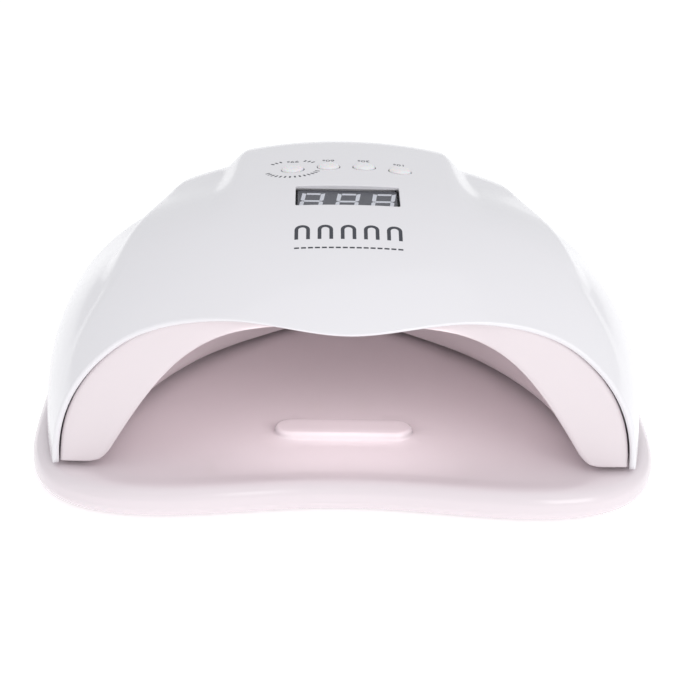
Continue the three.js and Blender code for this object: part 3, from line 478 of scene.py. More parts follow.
def normals_of(gap, points):
    parts = []
    for axis in np.eye(3) * 0.02:
        parts.append(gap(points + axis) - gap(points - axis))
    return unit(np.stack(parts, -1))


def reach(gap, starts, direction):
    """The points where lines from inside a surface leave it."""
    near = np.zeros(len(starts))
    far = np.full(len(starts), 120.0)
    for _ in range(44):
        middle = (near + far) / 2
        inside = gap(starts + middle[:, None] * direction) < 0
        near, far = np.where(inside, middle, near), np.where(inside, far, middle)
    return starts + near[:, None] * direction


class Plane:
    """A place with three axes, the third square to the plane."""

    def __init__(self, place, x, y):
        self.place = np.array(place, float)
        x, y = unit(np.array(x, float)), unit(np.array(y, float))
        self.axes = np.stack([x, y, np.cross(x, y)])

    def world(self, flat, height=0.0):
        flat = np.asarray(flat, float)
        heights = np.broadcast_to(height, flat.shape[:-1])
        return self.place + np.concatenate([flat, heights[..., None]], -1) @ self.axes

    def local(self, points):
        return (np.asarray(points) - self.place) @ self.axes.T

    def lift(self, gap, start=-12.0):
        """Puts points of the plane on a surface, along the plane's third axis."""
        return lambda flat: reach(gap, self.world(flat, start), self.axes[2])

    def raised(self, height):
        return Plane(self.place + height * self.axes[2], self.axes[0], self.axes[1])

    def matrix(self):
        return Matrix.Translation(self.place) @ Matrix(self.axes.T.tolist()).to_4x4()


def display_plane():
    y = np.array([DISPLAY.y - 8, DISPLAY.y + 8.0])
    z = SHELL.base + cover_radius(0, y)
    slope = (z[1] - z[0]) / (y[1] - y[0])
    return Plane((0, DISPLAY.y, z.mean()), (1, 0, 0), (0, 1, slope))


def tunnel_plane(place):
    """The underside of a board that lies on the tunnel: X round the arch, Y rearwards, Z away."""
    step = 0.01
    middle = tunnel_point(place.share, place.y)
    across = unit(tunnel_point(place.share + step, place.y) - tunnel_point(place.share - step, place.y))
    along = tunnel_point(place.share, place.y + 1) - tunnel_point(place.share, place.y - 1)
    out = unit(np.cross(across, along))
    plane = Plane(middle, across, np.cross(out, across))
    share, y = np.meshgrid(np.linspace(-1, 1, 81), np.linspace(TUNNEL.front_y, TUNNEL.rear_y - 1, 61))
    local = plane.local(tunnel_point(share, y))
    near = (np.abs(local[..., 0]) < place.across + 2) & (np.abs(local[..., 1]) < place.along + 2)
    return plane.raised(max(local[..., 2][near].max(), 0) + TUNNEL.wall + CLEARANCE)


display = display_plane()
on_cover = display.lift(cover_gap)


def button_spot(name):
    x, y = BUTTON_PLACES[name]
    return x, (y - DISPLAY.y) / display.axes[1][1]


# ---- meshes
def add_piece(name, mesh, look, slot, replaces=(), body="head"):
    mesh.materials.append(MATERIALS[look])
    piece = link(name, mesh)
    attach(piece, body)
    if replaces:
        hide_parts(*replaces)
    return piece


class Skin:
    """Points in millimetres and the faces between them, made as an open sheet."""

    def __init__(self):
        self.points = np.zeros((0, 3))
        self.faces = []
        self.rim_of = {}

    def add(self, points):
        start = len(self.points)
        points = np.asarray(points, float)
        self.points = np.concatenate([self.points, points.reshape(-1, 3)])
        return np.arange(start, len(self.points)).reshape(points.shape[:-1])

    def face(self, corners):
        kept = list(dict.fromkeys(int(c) for c in corners))
        if len(kept) > 2:
            self.faces.append(kept)

    def grid(self, index):
        for here, there in zip(index[:-1], index[1:]):
            for c in range(len(here) - 1):
                self.face((here[c], here[c + 1], there[c + 1], there[c]))

    def sheet(self, points):
        """A grid of points whose last row closes in one point."""
        index = self.add(points)
        index[-1, :] = index[-1, 0]
        self.grid(index)
        return index

    def rings(self, rings):
        """Faces between closed rings of points."""
        self.grid([np.append(ring, ring[0]) for ring in rings])

    def take_out(self, inside):
        """Removes the faces whose corners are all inside; returns the gap's edges and one such face."""
        gone = [f for f in self.faces if all(inside[i] for i in f)]
        self.faces = [f for f in self.faces if not all(inside[i] for i in f)]
        edges = {(a, b) for f in gone for a, b in zip(f, f[1:] + f[:1])}
        return [(a, b) for a, b in edges if (b, a) not in edges], gone[0]

    def cut(self, plane, region, outlines, lift, spacing, rim=None):
        """Remeshes the part of the sheet that lies in a region of a plane, leaving holes in it."""
        local = plane.local(self.points)
        border, first = self.take_out(region(local))
        index = sorted({i for edge in border for i in edge})
        number = {i: n for n, i in enumerate(index)}
        ties = [(number[a], number[b]) for a, b in border]
        ties += ties_round([len(outline) for outline in outlines], len(index))
        flat = np.concatenate([local[index][:, :2], *outlines])
        for outline in outlines:
            loop = self.add(lift(outline)).tolist()
            index += loop
            self.rim_of.update({i: (rim, n) for n, i in enumerate(loop)})
        flat = np.concatenate([flat, seeds_between(flat, outlines, spacing, sqrt(0.75), 0.5)])
        _, faces, middles, origins = triangles_of(flat, ties)
        used = sorted({o[0] for o in origins if o and o[0] >= len(index)})
        loose = self.add(lift(flat[used])).tolist() if used else []
        whole = dict(enumerate(index)) | dict(zip(used, loose))
        a, b, c = self.points[first[:3]]
        turn = 1 if np.cross(b - a, c - a) @ plane.axes[2] > 0 else -1
        for triangle, empty in zip(faces, within_any(middles, outlines)):
            if not empty:
                self.face([whole[origins[i][0]] for i in triangle[::turn]])

    def borders(self):
        """The sheet's open edges as closed loops, each with the sheet on its left."""
        edges = {(a, b) for f in self.faces for a, b in zip(f, f[1:] + f[:1])}
        follow = {a: b for a, b in edges if (b, a) not in edges}
        while follow:
            here, loop = min(follow), []
            while here in follow:
                loop.append(here)
                here = follow.pop(here)
            yield np.array(loop)

    def close(self, gap, thickness, rim_radius):
        """Gives the sheet a thickness, with round rims, and returns every point's normal."""
        normals = normals_of(gap, self.points)
        depth = thickness(self.points)
        loops = list(self.borders())
        sheet = list(self.faces)
        inner = self.add(self.points - depth[:, None] * normals)
        normals = np.concatenate([normals, -normals])
        for f in sheet:
            self.face([inner[i] for i in reversed(f)])
        for loop in loops:
            edge = self.points[loop]
            rim, _ = self.rim_of.get(int(loop[0]), (None, 0))
            if callable(rim):
                rings = rim(np.array([self.rim_of[int(i)][1] for i in loop]))
            else:
                radius = rim_radius(edge) if rim is None else np.full(len(edge), rim)
                rings = round_rim(edge, normals[loop], depth[loop], radius)
            index = [loop]
            for points, directions in rings:
                index.append(self.add(points))
                normals = np.concatenate([normals, directions])
            self.rings(index + [inner[loop]])
        return normals

    def mesh(self, name, normals=None, sharp=35):
        mesh = bpy.data.meshes.new(name)
        mesh.from_pydata((self.points * MM).tolist(), [], self.faces)
        work = bmesh.new()
        work.from_mesh(mesh)
        bmesh.ops.recalc_face_normals(work, faces=work.faces)
        work.to_mesh(mesh)
        work.free()
        mesh.shade_smooth()
        if normals is None:
            mesh.set_sharp_from_angle(angle=radians(sharp))
        else:
            mesh.normals_split_custom_set_from_vertices(normals.tolist())
        return mesh


def round_rim(edge, out, thickness, radius):
    """Rings that turn from one side of a wall to the other, and the normals on them."""
    sides = unit(np.cross(np.roll(edge, -1, 0) - edge, out))
    away = unit(sides + np.roll(sides, 1, 0))
    radius = np.minimum(radius, thickness / 2)[:, None]
    thickness = thickness[:, None]
    rings = []
    for turn in np.linspace(0, pi, 9)[1:-1]:
        c, s = cos(turn), sin(turn)
        depth = np.where(turn <= pi / 2, radius * (1 - c), thickness - radius * (1 + c))
        rings.append((edge + away * radius * s - out * depth, unit(out * c + away * s)))
    return rings


class Block:
    """Closed shapes in millimetres, gathered into one piece."""

    def __init__(self, plane=None):
        self.work = bmesh.new()
        self.place = plane.matrix() if plane else Matrix.Identity(4)

    def box(self, middle, size, bevel):
        corners = bmesh.ops.create_cube(self.work, size=1)["verts"]
        bmesh.ops.transform(self.work, matrix=Matrix.Diagonal((*size, 1)), verts=corners)
        bmesh.ops.translate(self.work, vec=middle, verts=corners)
        bmesh.ops.transform(self.work, matrix=self.place, verts=corners)
        edges = list({e for v in corners for e in v.link_edges})
        bmesh.ops.bevel(self.work, geom=edges, offset=bevel, segments=2, profile=0.5, affect="EDGES")
        return self

    def loft(self, rings):
        """A closed shape through rings with equal counts, flat at both ends."""
        corners = [[self.work.verts.new(self.place @ Vector(p)) for p in ring.tolist()] for ring in rings]
        self.work.faces.new(corners[0][::-1])
        self.work.faces.new(corners[-1])
        for here, there in zip(corners, corners[1:]):
            for i, j in ties_round([len(here)]):
                self.work.faces.new([here[i], here[j], there[j], there[i]])
        return self

    def plate(self, outline, low, high, bevel):
        """A flat plate with round edges; outline(inset) gives its rim."""
        turns = np.linspace(0, pi / 2, 4)
        insets = bevel * (1 - np.sin(turns))
        rise = bevel * (1 - np.cos(turns))
        sides = [*zip(insets, low + rise), *zip(insets[::-1], high - rise[::-1])]
        return self.loft([level(outline(inset), z) for inset, z in sides])

    def slab(self, halves, corner, low, high, bevel, middle=(0, 0)):
        """A plate with a rounded rectangle for its outline."""
        def outline(inset):
            return rounded_rectangle(halves[0] - inset, halves[1] - inset, corner, middle)
        return self.plate(outline, low, high, bevel)

    def lathe(self, profile, middle=(0, 0, 0), axis=(0, 0, 1), sides=40):
        """A turned shape from (radius, height) points off the axis, closed flat at both ends."""
        turn = Vector((0, 0, 1)).rotation_difference(Vector(axis)).to_matrix()
        rings = []
        for radius, height in profile:
            ring = np.array([turn @ Vector((x, y, height)) for x, y in circle(radius, sides)])
            rings.append(ring + np.array(middle))
        return self.loft(rings)

    def tube(self, path, radius):
        along = unit(np.gradient(path, axis=0))
        side = unit(np.cross(along[0], ASIDE))
        rings = []
        for point, ahead in zip(path, along):
            side = unit(side - ahead * (side @ ahead))
            up = np.cross(ahead, side)
            ring = circle(radius, 12)
            rings.append(point + ring[:, :1] * side + ring[:, 1:] * up)
        return self.loft(rings)

    def mesh(self, name, sharp=35):
        bmesh.ops.recalc_face_normals(self.work, faces=self.work.faces)
        mesh = bpy.data.meshes.new(name)
        self.work.to_mesh(mesh)
        self.work.free()
        mesh.transform(Matrix.Scale(MM, 4))
        mesh.shade_smooth()
        mesh.set_sharp_from_angle(angle=radians(sharp))
        return mesh

    def piece(self, name, look, slot, replaces=(), body="head"):
        add_piece(name, self.mesh(name), look, slot, replaces, body)


def level(outline, z):
    return np.column_stack([outline, np.full(len(outline), float(z))])


def middle_of(node):
    """A CAD node's box in millimetres: its middle, lowest and highest corners."""
    low, high = (np.array(corner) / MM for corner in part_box(node))
    return (low + high) / 2, low, high


# ---- cover
def cover_sheet(columns, rows):
    angle = np.linspace(-pi / 2, pi / 2, columns + 1)[None, :]
    v = np.linspace(0, 1, rows + 1)[:, None]
    front = lip_at(angle) + SHELL.lip_radius
    y = front + (SHELL.rear_y - front) * np.sin(v * pi / 2)
    r = cover_radius(angle, y)
    crown = np.maximum(r[:, columns // 2, None], 1)
    foot = np.maximum(SHELL.base_radius * smooth(crown / 10), 0.05)
    rise = foot + r * np.cos(angle) * (1 - foot / crown)
    return np.stack([r * np.sin(angle), y, SHELL.base + rise], -1)


def display_opening(offset):
    half_x, half_y = (size / 2 + offset for size in DISPLAY.opening)
    return rounded_rectangle(half_x, half_y, DISPLAY.corner + offset)


def recess_rings(order):
    """The display's recess with its round edge, and the rebate and collar under it for the pane."""
    lip, foot, seat, collar = DISPLAY.lip, DISPLAY.foot, DISPLAY.seat, DISPLAY.collar
    surface = display.local(on_cover(display_opening(lip)))[order, 2]

    def ring(offset, heights, direction):
        flat = display_opening(offset)[order]
        outward = unit(display_opening(9)[order] - flat) @ display.axes[:2]
        points = display.world(flat, heights)
        return points, unit(outward * direction[0] + display.axes[2] * direction[1])

    def turned(middle, height, sweep):
        for turn in np.linspace(*sweep, 4):
            s, c = sin(turn), cos(turn)
            rings.append(ring(middle + foot * c, height + foot * s, (c, s)))

    rings = []
    for turn in np.linspace(0, pi / 2, 5):
        s, c = sin(turn), cos(turn)
        rings.append(ring(lip * (1 - s), surface - lip * (1 - c), (-s, c)))
    turned(foot, foot - DISPLAY.recess, (pi, 1.5 * pi))
    rings.append(ring(seat, -DISPLAY.recess, (-0.7, -0.7)))
    turned(seat + foot, foot - DISPLAY.collar_depth, (pi, 1.5 * pi))
    turned(seat + collar - foot, foot - DISPLAY.collar_depth, (1.5 * pi, 2 * pi))
    return rings


def cover_wall(points):
    """The cover's thickness, which thins towards the lip in the middle."""
    angle = np.arctan2(points[:, 0], points[:, 2] - SHELL.base)
    at_lip = 1 - smooth((points[:, 1] - lip_at(angle)) / SHELL.thinning_reach)
    under_visor = smooth((TUNNEL.visor_edge - np.abs(angle)) / TUNNEL.visor_fade)
    return SHELL.wall - SHELL.visor_thinning * at_lip * under_visor


def stretch(half_x, low_y, high_y, low_z):
    """A test for the points that lie near a stretch of a plane."""
    def inside(p):
        return (np.abs(p[:, 0]) < half_x) & (p[:, 1] > low_y) & (p[:, 1] < high_y) & (p[:, 2] > low_z)
    return inside


def make_cover():
    skin = Skin()
    skin.sheet(cover_sheet(*FINENESS.cover))
    hole = BUTTON.radius + BUTTON.gap + BUTTON.hole_edge
    holes = [circle(hole, 40, button_spot(name)) for name in BUTTON_PLACES]
    window = display_opening(DISPLAY.seat + DISPLAY.collar)
    skin.cut(display, stretch(*BUTTON.region), holes, on_cover, FINENESS.controls, BUTTON.hole_edge)
    skin.cut(display, stretch(*DISPLAY.region), [window], on_cover, FINENESS.controls, recess_rings)

    rear = Plane((0, SHELL.rear_y, VENT.z), (-1, 0, 0), (0, 0, 1))
    vents = [circle(SOCKET.radius + CLEARANCE + VENT.edge, 40, (0, SOCKET.z - VENT.z))]
    half_x, half_z = VENT.width / 2 + VENT.edge, VENT.height / 2 + VENT.edge
    for n in range(VENT.count):
        for side in (-1, 1):
            middle = (side * (VENT.first_x + n * VENT.pitch), 0)
            vents.append(rounded_rectangle(half_x, half_z, half_x - 0.01, middle))
    skin.cut(rear, stretch(*VENT.region), vents, rear.lift(cover_gap, -30.0), FINENESS.vents, VENT.edge)

    def rim_radius(p):
        return np.clip(p[:, 2] - SHELL.base, 0, SHELL.lip_radius)

    mesh = skin.mesh("outer_cover_shell", skin.close(cover_gap, cover_wall, rim_radius))
    add_piece("outer_cover_shell", mesh, "cover", "cover_plastic", ["outer_cover"])


# ---- liner
def liner_rows(columns, band, rows):
    """The liner from its edge under the cover's lip, over the band, to the tunnel's closed end."""
    crowding = TUNNEL.crowding * pi / 2
    share = np.sin(np.linspace(-crowding, crowding, columns + 1)) / sin(crowding)
    angle = share * pi / 2
    edge_y = lip_at(angle) + TUNNEL.lip_setback
    under_visor = smooth((TUNNEL.visor_edge - np.abs(angle)) / TUNNEL.visor_fade)
    edge_y += TUNNEL.visor_setback * under_visor
    inset = SHELL.wall + TUNNEL.lip_inset + TUNNEL.visor_inset * under_visor
    r = cover_radius(angle, edge_y) - inset
    edge = np.stack([r * np.sin(angle), edge_y, SHELL.base + r * np.cos(angle)], -1)
    mouth = tunnel_point(share, TUNNEL.front_y)
    across_band = [edge + (mouth - edge) * k for k in np.linspace(0, 1, band + 1)[:-1]]
    depth = TUNNEL.rear_y - TUNNEL.front_y
    inward = [tunnel_point(share, TUNNEL.front_y + depth * sin(v * pi / 2))
              for v in np.linspace(0, 1, rows + 1)]
    sheet = np.stack(across_band + inward)
    sheet[:, (0, -1), 2] = SHELL.base
    return sheet


def flange_edge(rows):
    """Where the liner's flange ends, just inside the cover's foot, from the front to the rear."""
    v = np.linspace(0, 1, rows + 1)
    front = SHELL.lip_y + TUNNEL.lip_setback
    y = front + (SHELL.rear_y - front) * np.sin(v * pi / 2)
    foot = np.stack([cover_radius(pi / 2, y), y], -1)
    outward = foot[:-2] - foot[2:]
    outward = unit(np.stack([-outward[:, 1], outward[:, 0]], -1))
    outward = np.concatenate([[(1, 0)], outward, [(0, 1)]])
    band_gap = SHELL.wall + TUNNEL.lip_inset
    gap = SHELL.wall + 2 * CLEARANCE
    inset = gap + (band_gap - gap) * (1 - smooth(8 * v))
    edge = foot - outward * inset[:, None]
    edge[0] = (foot[0, 0] - band_gap, front)
    edge[-1, 0] = 0
    return level(edge, SHELL.base)


def add_flange(skin, foot, side, band, rows):
    """One half of the flat underside, from the tunnel's foot out to the cover, with its holes."""
    kept_rows = 2
    inner = skin.points[foot[band:]][:, :2]
    ahead = np.gradient(inner, axis=0)
    out = side * unit(np.stack([ahead[:, 1], -ahead[:, 0]], -1))
    out[-1] = (0, 1)
    strips = [foot[band:]]
    for k in range(1, kept_rows + 1):
        distance = np.linalg.norm(skin.points[foot[band - k]] - skin.points[foot[band]])
        strip = skin.add(level(inner + distance * out, SHELL.base))
        strip[0] = foot[band - k]
        strips.append(strip)
    skin.grid(strips)
    outer = flange_edge(rows) * (side, 1, 1)
    start, end = skin.points[strips[-1][-1]], outer[-1]
    middle_line = skin.add(start + (end - start) * np.linspace(0, 1, 8)[1:, None])
    rim = skin.add(outer[-2:0:-1])
    loop = np.concatenate([strips[-1], middle_line, rim, foot[:band - kept_rows]])
    holes = []
    for kind, radius in (("liner_screw", SCREW.head_radius), ("head_pad", PAD_RADIUS)):
        for corner in CORNERS:
            x, y, _ = middle_of(f"{kind}_{corner}")[0]
            if x * side > 0:
                holes.append(skin.add(level(circle(radius + CLEARANCE, 32, (x, y)), SHELL.base)))
    flat_between(skin, SHELL.base, loop, holes, FINENESS.flange)


def cut_windows(skin):
    """Opens the liner in front of each LED and each infrared part."""
    for place in (*LED_BOARDS.values(), SENSOR):
        plane = tunnel_plane(place)
        spots = [(x, y) for x in place.xs for y in place.ys]
        margin = place.window + FINENESS.window_margin

        def near_window(p):
            near = [np.hypot(p[:, 0] - x, p[:, 1] - y) < margin for x, y in spots]
            return np.any(near, axis=0) & (np.abs(p[:, 2]) < 15)

        windows = [circle(place.window, 36, spot) for spot in spots]
        skin.cut(plane, near_window, windows, plane.lift(tunnel_gap, -15.0), FINENESS.windows)


def make_liner():
    columns, band, rows = FINENESS.liner
    skin = Skin()
    index = skin.sheet(liner_rows(columns, band, rows))
    add_flange(skin, index[:, -1], 1, band, rows)
    add_flange(skin, index[:, 0], -1, band, rows)
    cut_windows(skin)
    mesh = skin.mesh("inner_liner_shell")
    work = bmesh.new()
    work.from_mesh(mesh)
    bmesh.ops.remove_doubles(work, verts=work.verts, dist=0.01 * MM)
    bmesh.ops.recalc_face_normals(work, faces=work.faces)
    down = sum(f.normal.z * f.calc_area() for f in work.faces)
    if down > 0:
        bmesh.ops.reverse_faces(work, faces=work.faces)
    soften_foot(work)
    work.to_mesh(mesh)
    work.free()
    mesh.shade_smooth()
    piece = add_piece("inner_liner_shell", mesh, "liner", "liner_plastic", ["inner_liner"])
    wall = piece.modifiers.new("wall", "SOLIDIFY")
    wall.thickness = TUNNEL.wall * MM
    wall.offset = -1
    round_off = piece.modifiers.new("rounding", "SUBSURF")
    round_off.levels = round_off.render_levels = 1


def soften_foot(work):
    """Rounds the corner where the tunnel's wall turns out into the flange."""
    (low_x, low_z), (foot_x, foot_z) = TUNNEL.arch[2:]
    lean_x, lean_z = unit(np.array((low_x - foot_x, low_z - foot_z)))
    rounding = TUNNEL.foot_rounding
    for v in work.verts:
        x, y, z = v.co / MM
        narrow, _ = tunnel_scale(max(y, TUNNEL.front_y))
        distance = hypot(abs(x) - foot_x * float(narrow), z - SHELL.base)
        if distance < rounding:
            towards_rear = float(smooth((y - TUNNEL.rounding_fade_y) / TUNNEL.rounding_fade))
            push = (1 - towards_rear) * (rounding - distance) ** 2 / (4 * rounding) * MM
            v.co.x += copysign(push * (1 + lean_x), x)
            v.co.z += push * lean_z


# ---- tray
def tray_outline(inset, count=240):
    angle = np.linspace(0, 2 * pi, count, endpoint=False)
    c, s = np.cos(angle), np.sin(angle)
    depth = np.where(s < 0, TRAY.front_depth, TRAY.rear_depth) - inset
    n = TRAY.squareness
    r = ((np.abs(c) / (TRAY.half_width - inset)) ** n + (np.abs(s) / depth) ** n) ** (-1 / n)
    x, y = r * c, r * s
    bow = np.exp(-(x / TRAY.dip_width) ** 2) * smooth((TRAY.dip_start - y) / TRAY.dip_span)
    return np.stack([x, y + TRAY.dip_depth * bow], -1)


def stadium(inset):
    """The hand stop's outline, drawn in by an inset."""
    angle = np.linspace(0, 2 * pi, 96, endpoint=False)
    r = HAND_STOP.width / 2 - inset
    half = (HAND_STOP.length - HAND_STOP.width) / 2
    side = np.where(np.cos(angle) > 0, half, -half)
    return np.stack([side + r * np.cos(angle), HAND_STOP.y + r * np.sin(angle)], -1)


def through(points, steps):
    """A smooth curve through points, as a Catmull-Rom spline."""
    p = np.array([points[0], *points, points[-1]], float)
    curve = []
    for a, b, c, d in zip(p, p[1:], p[2:], p[3:]):
        for t in np.linspace(0, 1, steps, endpoint=False):
            curve.append(0.5 * (2 * b + (c - a) * t + (2 * a - 5 * b + 4 * c - d) * t ** 2
                                + (3 * b - 3 * c + d - a) * t ** 3))
    return np.array([*curve, p[-1]])


def flat_between(skin, z, outer, holes, spacing):
    """A flat stretch inside a ring of the skin's points and outside the holes' rings."""
    rings = [outer, *holes]
    edge, *outlines = [skin.points[ring][:, :2] for ring in rings]
    flat = np.concatenate([edge, *outlines])
    seeds = seeds_between(flat, outlines, spacing)
    flat = np.concatenate([flat, seeds[within(seeds, edge)]])
    index = np.concatenate(rings)
    whole = np.concatenate([index, skin.add(level(flat[len(index):], z))])
    _, faces, middles, origins = triangles_of(flat, ties_round([len(ring) for ring in rings]))
    for triangle, empty in zip(faces, within_any(middles, outlines)):
        if not empty:
            skin.face([whole[origins[i][0]] for i in triangle])


def rectangle(x0, x1, y0, y1):
    return np.array([(x0, y0), (x1, y0), (x1, y1), (x0, y1)])


def tray_levels(seats):
    """The underside's outlines, and how high each point of it lies."""
    roof = TRAY.top - TRAY.skin
    pocket = tray_outline(TRAY.rim_wall, 160)
    outlines = [pocket]
    lengthwise = [n * TRAY.rib_pitch for n in range(-4, 5)]
    crosswise = [(n + 0.5) * TRAY.rib_pitch for n in range(-4, 4)]
    half = TRAY.rib / 2
    reach_x, reach_y = TRAY.half_width - 2, TRAY.front_depth - 2
    for x in lengthwise:
        outlines.append(rectangle(x - half, x + half, -reach_y, reach_y))
    for y in crosswise:
        outlines.append(rectangle(-reach_x, reach_x, y - half, y + half))
    for spot, boss, seat, _ in seats:
        outlines += [circle(boss, 40, spot), circle(seat, 32, spot)]

    def height_at_points(p):
        z = np.full(len(p), roof)
        for y in crosswise:
            z[np.abs(p[:, 1] - y) < half] = TRAY.underside + TRAY.cross_rib_shortfall
        for x in lengthwise:
            z[np.abs(p[:, 0] - x) < half] = TRAY.underside + TRAY.rib_shortfall
        for spot, boss, _, _ in seats:
            z[within(p, circle(boss, 40, spot))] = TRAY.underside
        z[~within(p, pocket)] = TRAY.underside
        for spot, _, seat, roof_z in seats:
            z[within(p, circle(seat, 32, spot))] = roof_z
        return z

    return outlines, height_at_points


def terrace(skin, border, outlines, height_at_points):
    """Flat stretches at several heights inside a ring of the skin's points, with upright walls."""
    flat = [skin.points[border][:, :2], *outlines]
    corners, faces, middles, origins = triangles_of(
        np.concatenate(flat), ties_round([len(part) for part in flat]), 0, 1e-5)
    where = {}
    for i, origin in enumerate(origins):
        where |= {(i, TRAY.underside): int(border[o]) for o in origin if o < len(border)}
    levels_at, sides = {}, {}
    for face, z, kept in zip(faces, height_at_points(middles).tolist(), within(middles, flat[0])):
        if not kept:
            continue
        for i in face:
            levels_at.setdefault(i, set()).add(z)
            if (i, z) not in where:
                where[i, z] = int(skin.add([[*corners[i], z]])[0])
        skin.face([where[i, z] for i in face])
        for a, b in zip(face, face[1:] + face[:1]):
            sides.setdefault((min(a, b), max(a, b)), []).append(z)
    for (a, b), levels in sides.items():
        if len(set(levels)) == 2:
            low, high = sorted(levels)
            up = [where[b, z] for z in sorted(levels_at[b]) if low <= z <= high]
            down = [where[a, z] for z in sorted(levels_at[a], reverse=True) if low <= z <= high]
            skin.face(up + down)


def make_tray():
    skin = Skin()
    rings = [skin.add(level(tray_outline(inset), z)) for inset, z in through(TRAY.edge, 3)]
    skin.rings(rings)

    top, rise, fillet, rounding = TRAY.top, HAND_STOP.height, HAND_STOP.fillet, HAND_STOP.rounding
    stop = []
    for turn in np.linspace(0, pi / 2, 4):
        stop.append((fillet * (sin(turn) - 1), top + fillet * (1 - cos(turn))))
    for turn in np.linspace(0, pi / 2, 7):
        stop.append((rounding * (1 - cos(turn)), top + rise - rounding * (1 - sin(turn))))
    pill = [skin.add(level(stadium(inset), z)) for inset, z in stop]
    skin.rings(pill)
    flat_between(skin, top, rings[-1], [pill[0]], FINENESS.tray)
    flat_between(skin, top + rise, pill[-1], [], FINENESS.stop)

    seats = []
    for corner in CORNERS:
        for kind, radii in (("rubber_foot", FOOT_SEAT), ("tray_magnet", MAGNET_SEAT)):
            middle, _, high = middle_of(f"{kind}_{corner}")
            seats.append((middle[:2], *radii, high[2] + CLEARANCE))
    terrace(skin, rings[0], *tray_levels(seats))
    mesh = skin.mesh("base_tray_plate", sharp=40)
    add_piece("base_tray_plate", mesh, "tray", "tray_plastic", ["base_tray"], "base")


# ---- display
def seven_segments(middle):
    """The seven bars of an italic figure eight, as flat outlines."""
    half_x = (DISPLAY.digit_width - DISPLAY.segment) / 2
    half_y = (DISPLAY.digit_height - DISPLAY.segment) / 2
    t, gap = DISPLAY.segment / 2, DISPLAY.segment_gap
    a = half_x - gap
    b = a - t
    bars = [[(-a, 0), (-b, -t), (b, -t), (a, 0), (b, t), (-b, t)]]
    for up in (-1, 1):
        end, near = half_y * up, (gap + t) * up
        bars.append([(-b, end - t * up), (b, end - t * up), (b, end + t * up), (-b, end + t * up)])
        for out in (-t, t):
            x = copysign(half_x, out)
            bars.append([(x, gap * up), (x + out, near), (x + out, end + t * up), (x - out, end),
                         (x - out, near)])
    leaning = [[(x + y * DISPLAY.slant, y) for x, y in bar] for bar in bars]
    return [np.array(bar) + np.array(middle) for bar in leaning]


def make_display():
    _, low, high = middle_of("display_window")
    half_x = (high[0] - low[0]) / 2
    half_y = DISPLAY.opening[1] / 2 + DISPLAY.seat - CLEARANCE
    top = -DISPLAY.recess - DISPLAY.fit
    glass = Block(display).plate(pane_of(half_x, half_y), top - DISPLAY.pane, top, 0.25)
    glass.piece("display_window_pane", "pane", "smoked_pane", ["display_window"])
    make_module(top - DISPLAY.pane - DISPLAY.fit)


def pane_of(half_x, half_y):
    """The outline of a thin sheet whose corners tighten as it is drawn in."""
    return lambda inset: rounded_rectangle(half_x - inset, half_y - inset, DISPLAY.pane_corner - inset)


def make_module(face):
    """The module under the pane, its segments level with a face height."""
    half_x, half_y, height = (size / 2 for size in DISPLAY.module)
    under, bottom = face - 0.16, face - 0.16 - 2 * height
    rings = []
    for inset, z in ((0.2, bottom), (0, bottom + 0.2), (0, under - 0.2), (0.2, under), (0.7, under),
                     (0.7, under - 0.25)):
        rings.append(level(rounded_rectangle(half_x - inset, half_y - inset, 0.6 - min(inset, 0.4)), z))
    housing = Block(display).loft(rings)
    housing.piece("display_module_housing", "housing", "display_body", ["display_module"])

    outline = pane_of(half_x, half_y)
    film = Block(display).plate(lambda inset: outline(inset + 0.1), face - 0.14, face - 0.04, 0.02)
    film.piece("display_module_face", "face", "display_body")
    bars = Block(display)
    for x in centred(DISPLAY.digits, DISPLAY.digit_pitch):
        for bar in seven_segments((x, DISPLAY.digit_v)):
            bars.loft([level(bar, face - 0.06), level(bar, face)])
    bars.piece("display_segments", "segment", "display_body")

    pins = Block(display)
    low, high = -BOARD.depth - BOARD.thickness - 1, face - 2 * height
    for side in (-1, 1):
        for x in centred(DISPLAY.pins, DISPLAY.pin_pitch):
            middle = (x, side * (half_y - DISPLAY.pin_inset), (low + high) / 2)
            pins.box(middle, (0.5, 0.5, high - low), 0.08)
    pins.piece("display_module_pins", "copper", "display_body")


# ---- control board
def make_board():
    top = -BOARD.depth
    under = top - BOARD.thickness
    middle = (BOARD.front_v + BOARD.rear_v) / 2
    half_y = (BOARD.rear_v - BOARD.front_v) / 2
    screws = [(side * BOARD.screw_x, v) for side in (-1, 1) for v in BOARD.screw_vs]
    skin = Skin()
    rings = {}
    for z in (under, top):
        outer = skin.add(level(rounded_rectangle(BOARD.half_width, half_y, BOARD.corner, (0, middle)), z))
        holes = [skin.add(level(circle(BOARD.screw_hole, 24, spot), z)) for spot in screws]
        flat_between(skin, z, outer, holes, FINENESS.board)
        rings[z] = [outer, *holes]
    for walls in zip(rings[under], rings[top]):
        skin.rings(walls)
    skin.points = display.world(skin.points[:, :2], skin.points[:, 2])
    plate = skin.mesh("control_board_plate")
    add_piece("control_board_plate", plate, "board", "circuit_board", ["control_board"])

    make_board_parts(under)
    for name in BUTTON_PLACES:
        make_switch(name, top + CLEARANCE)


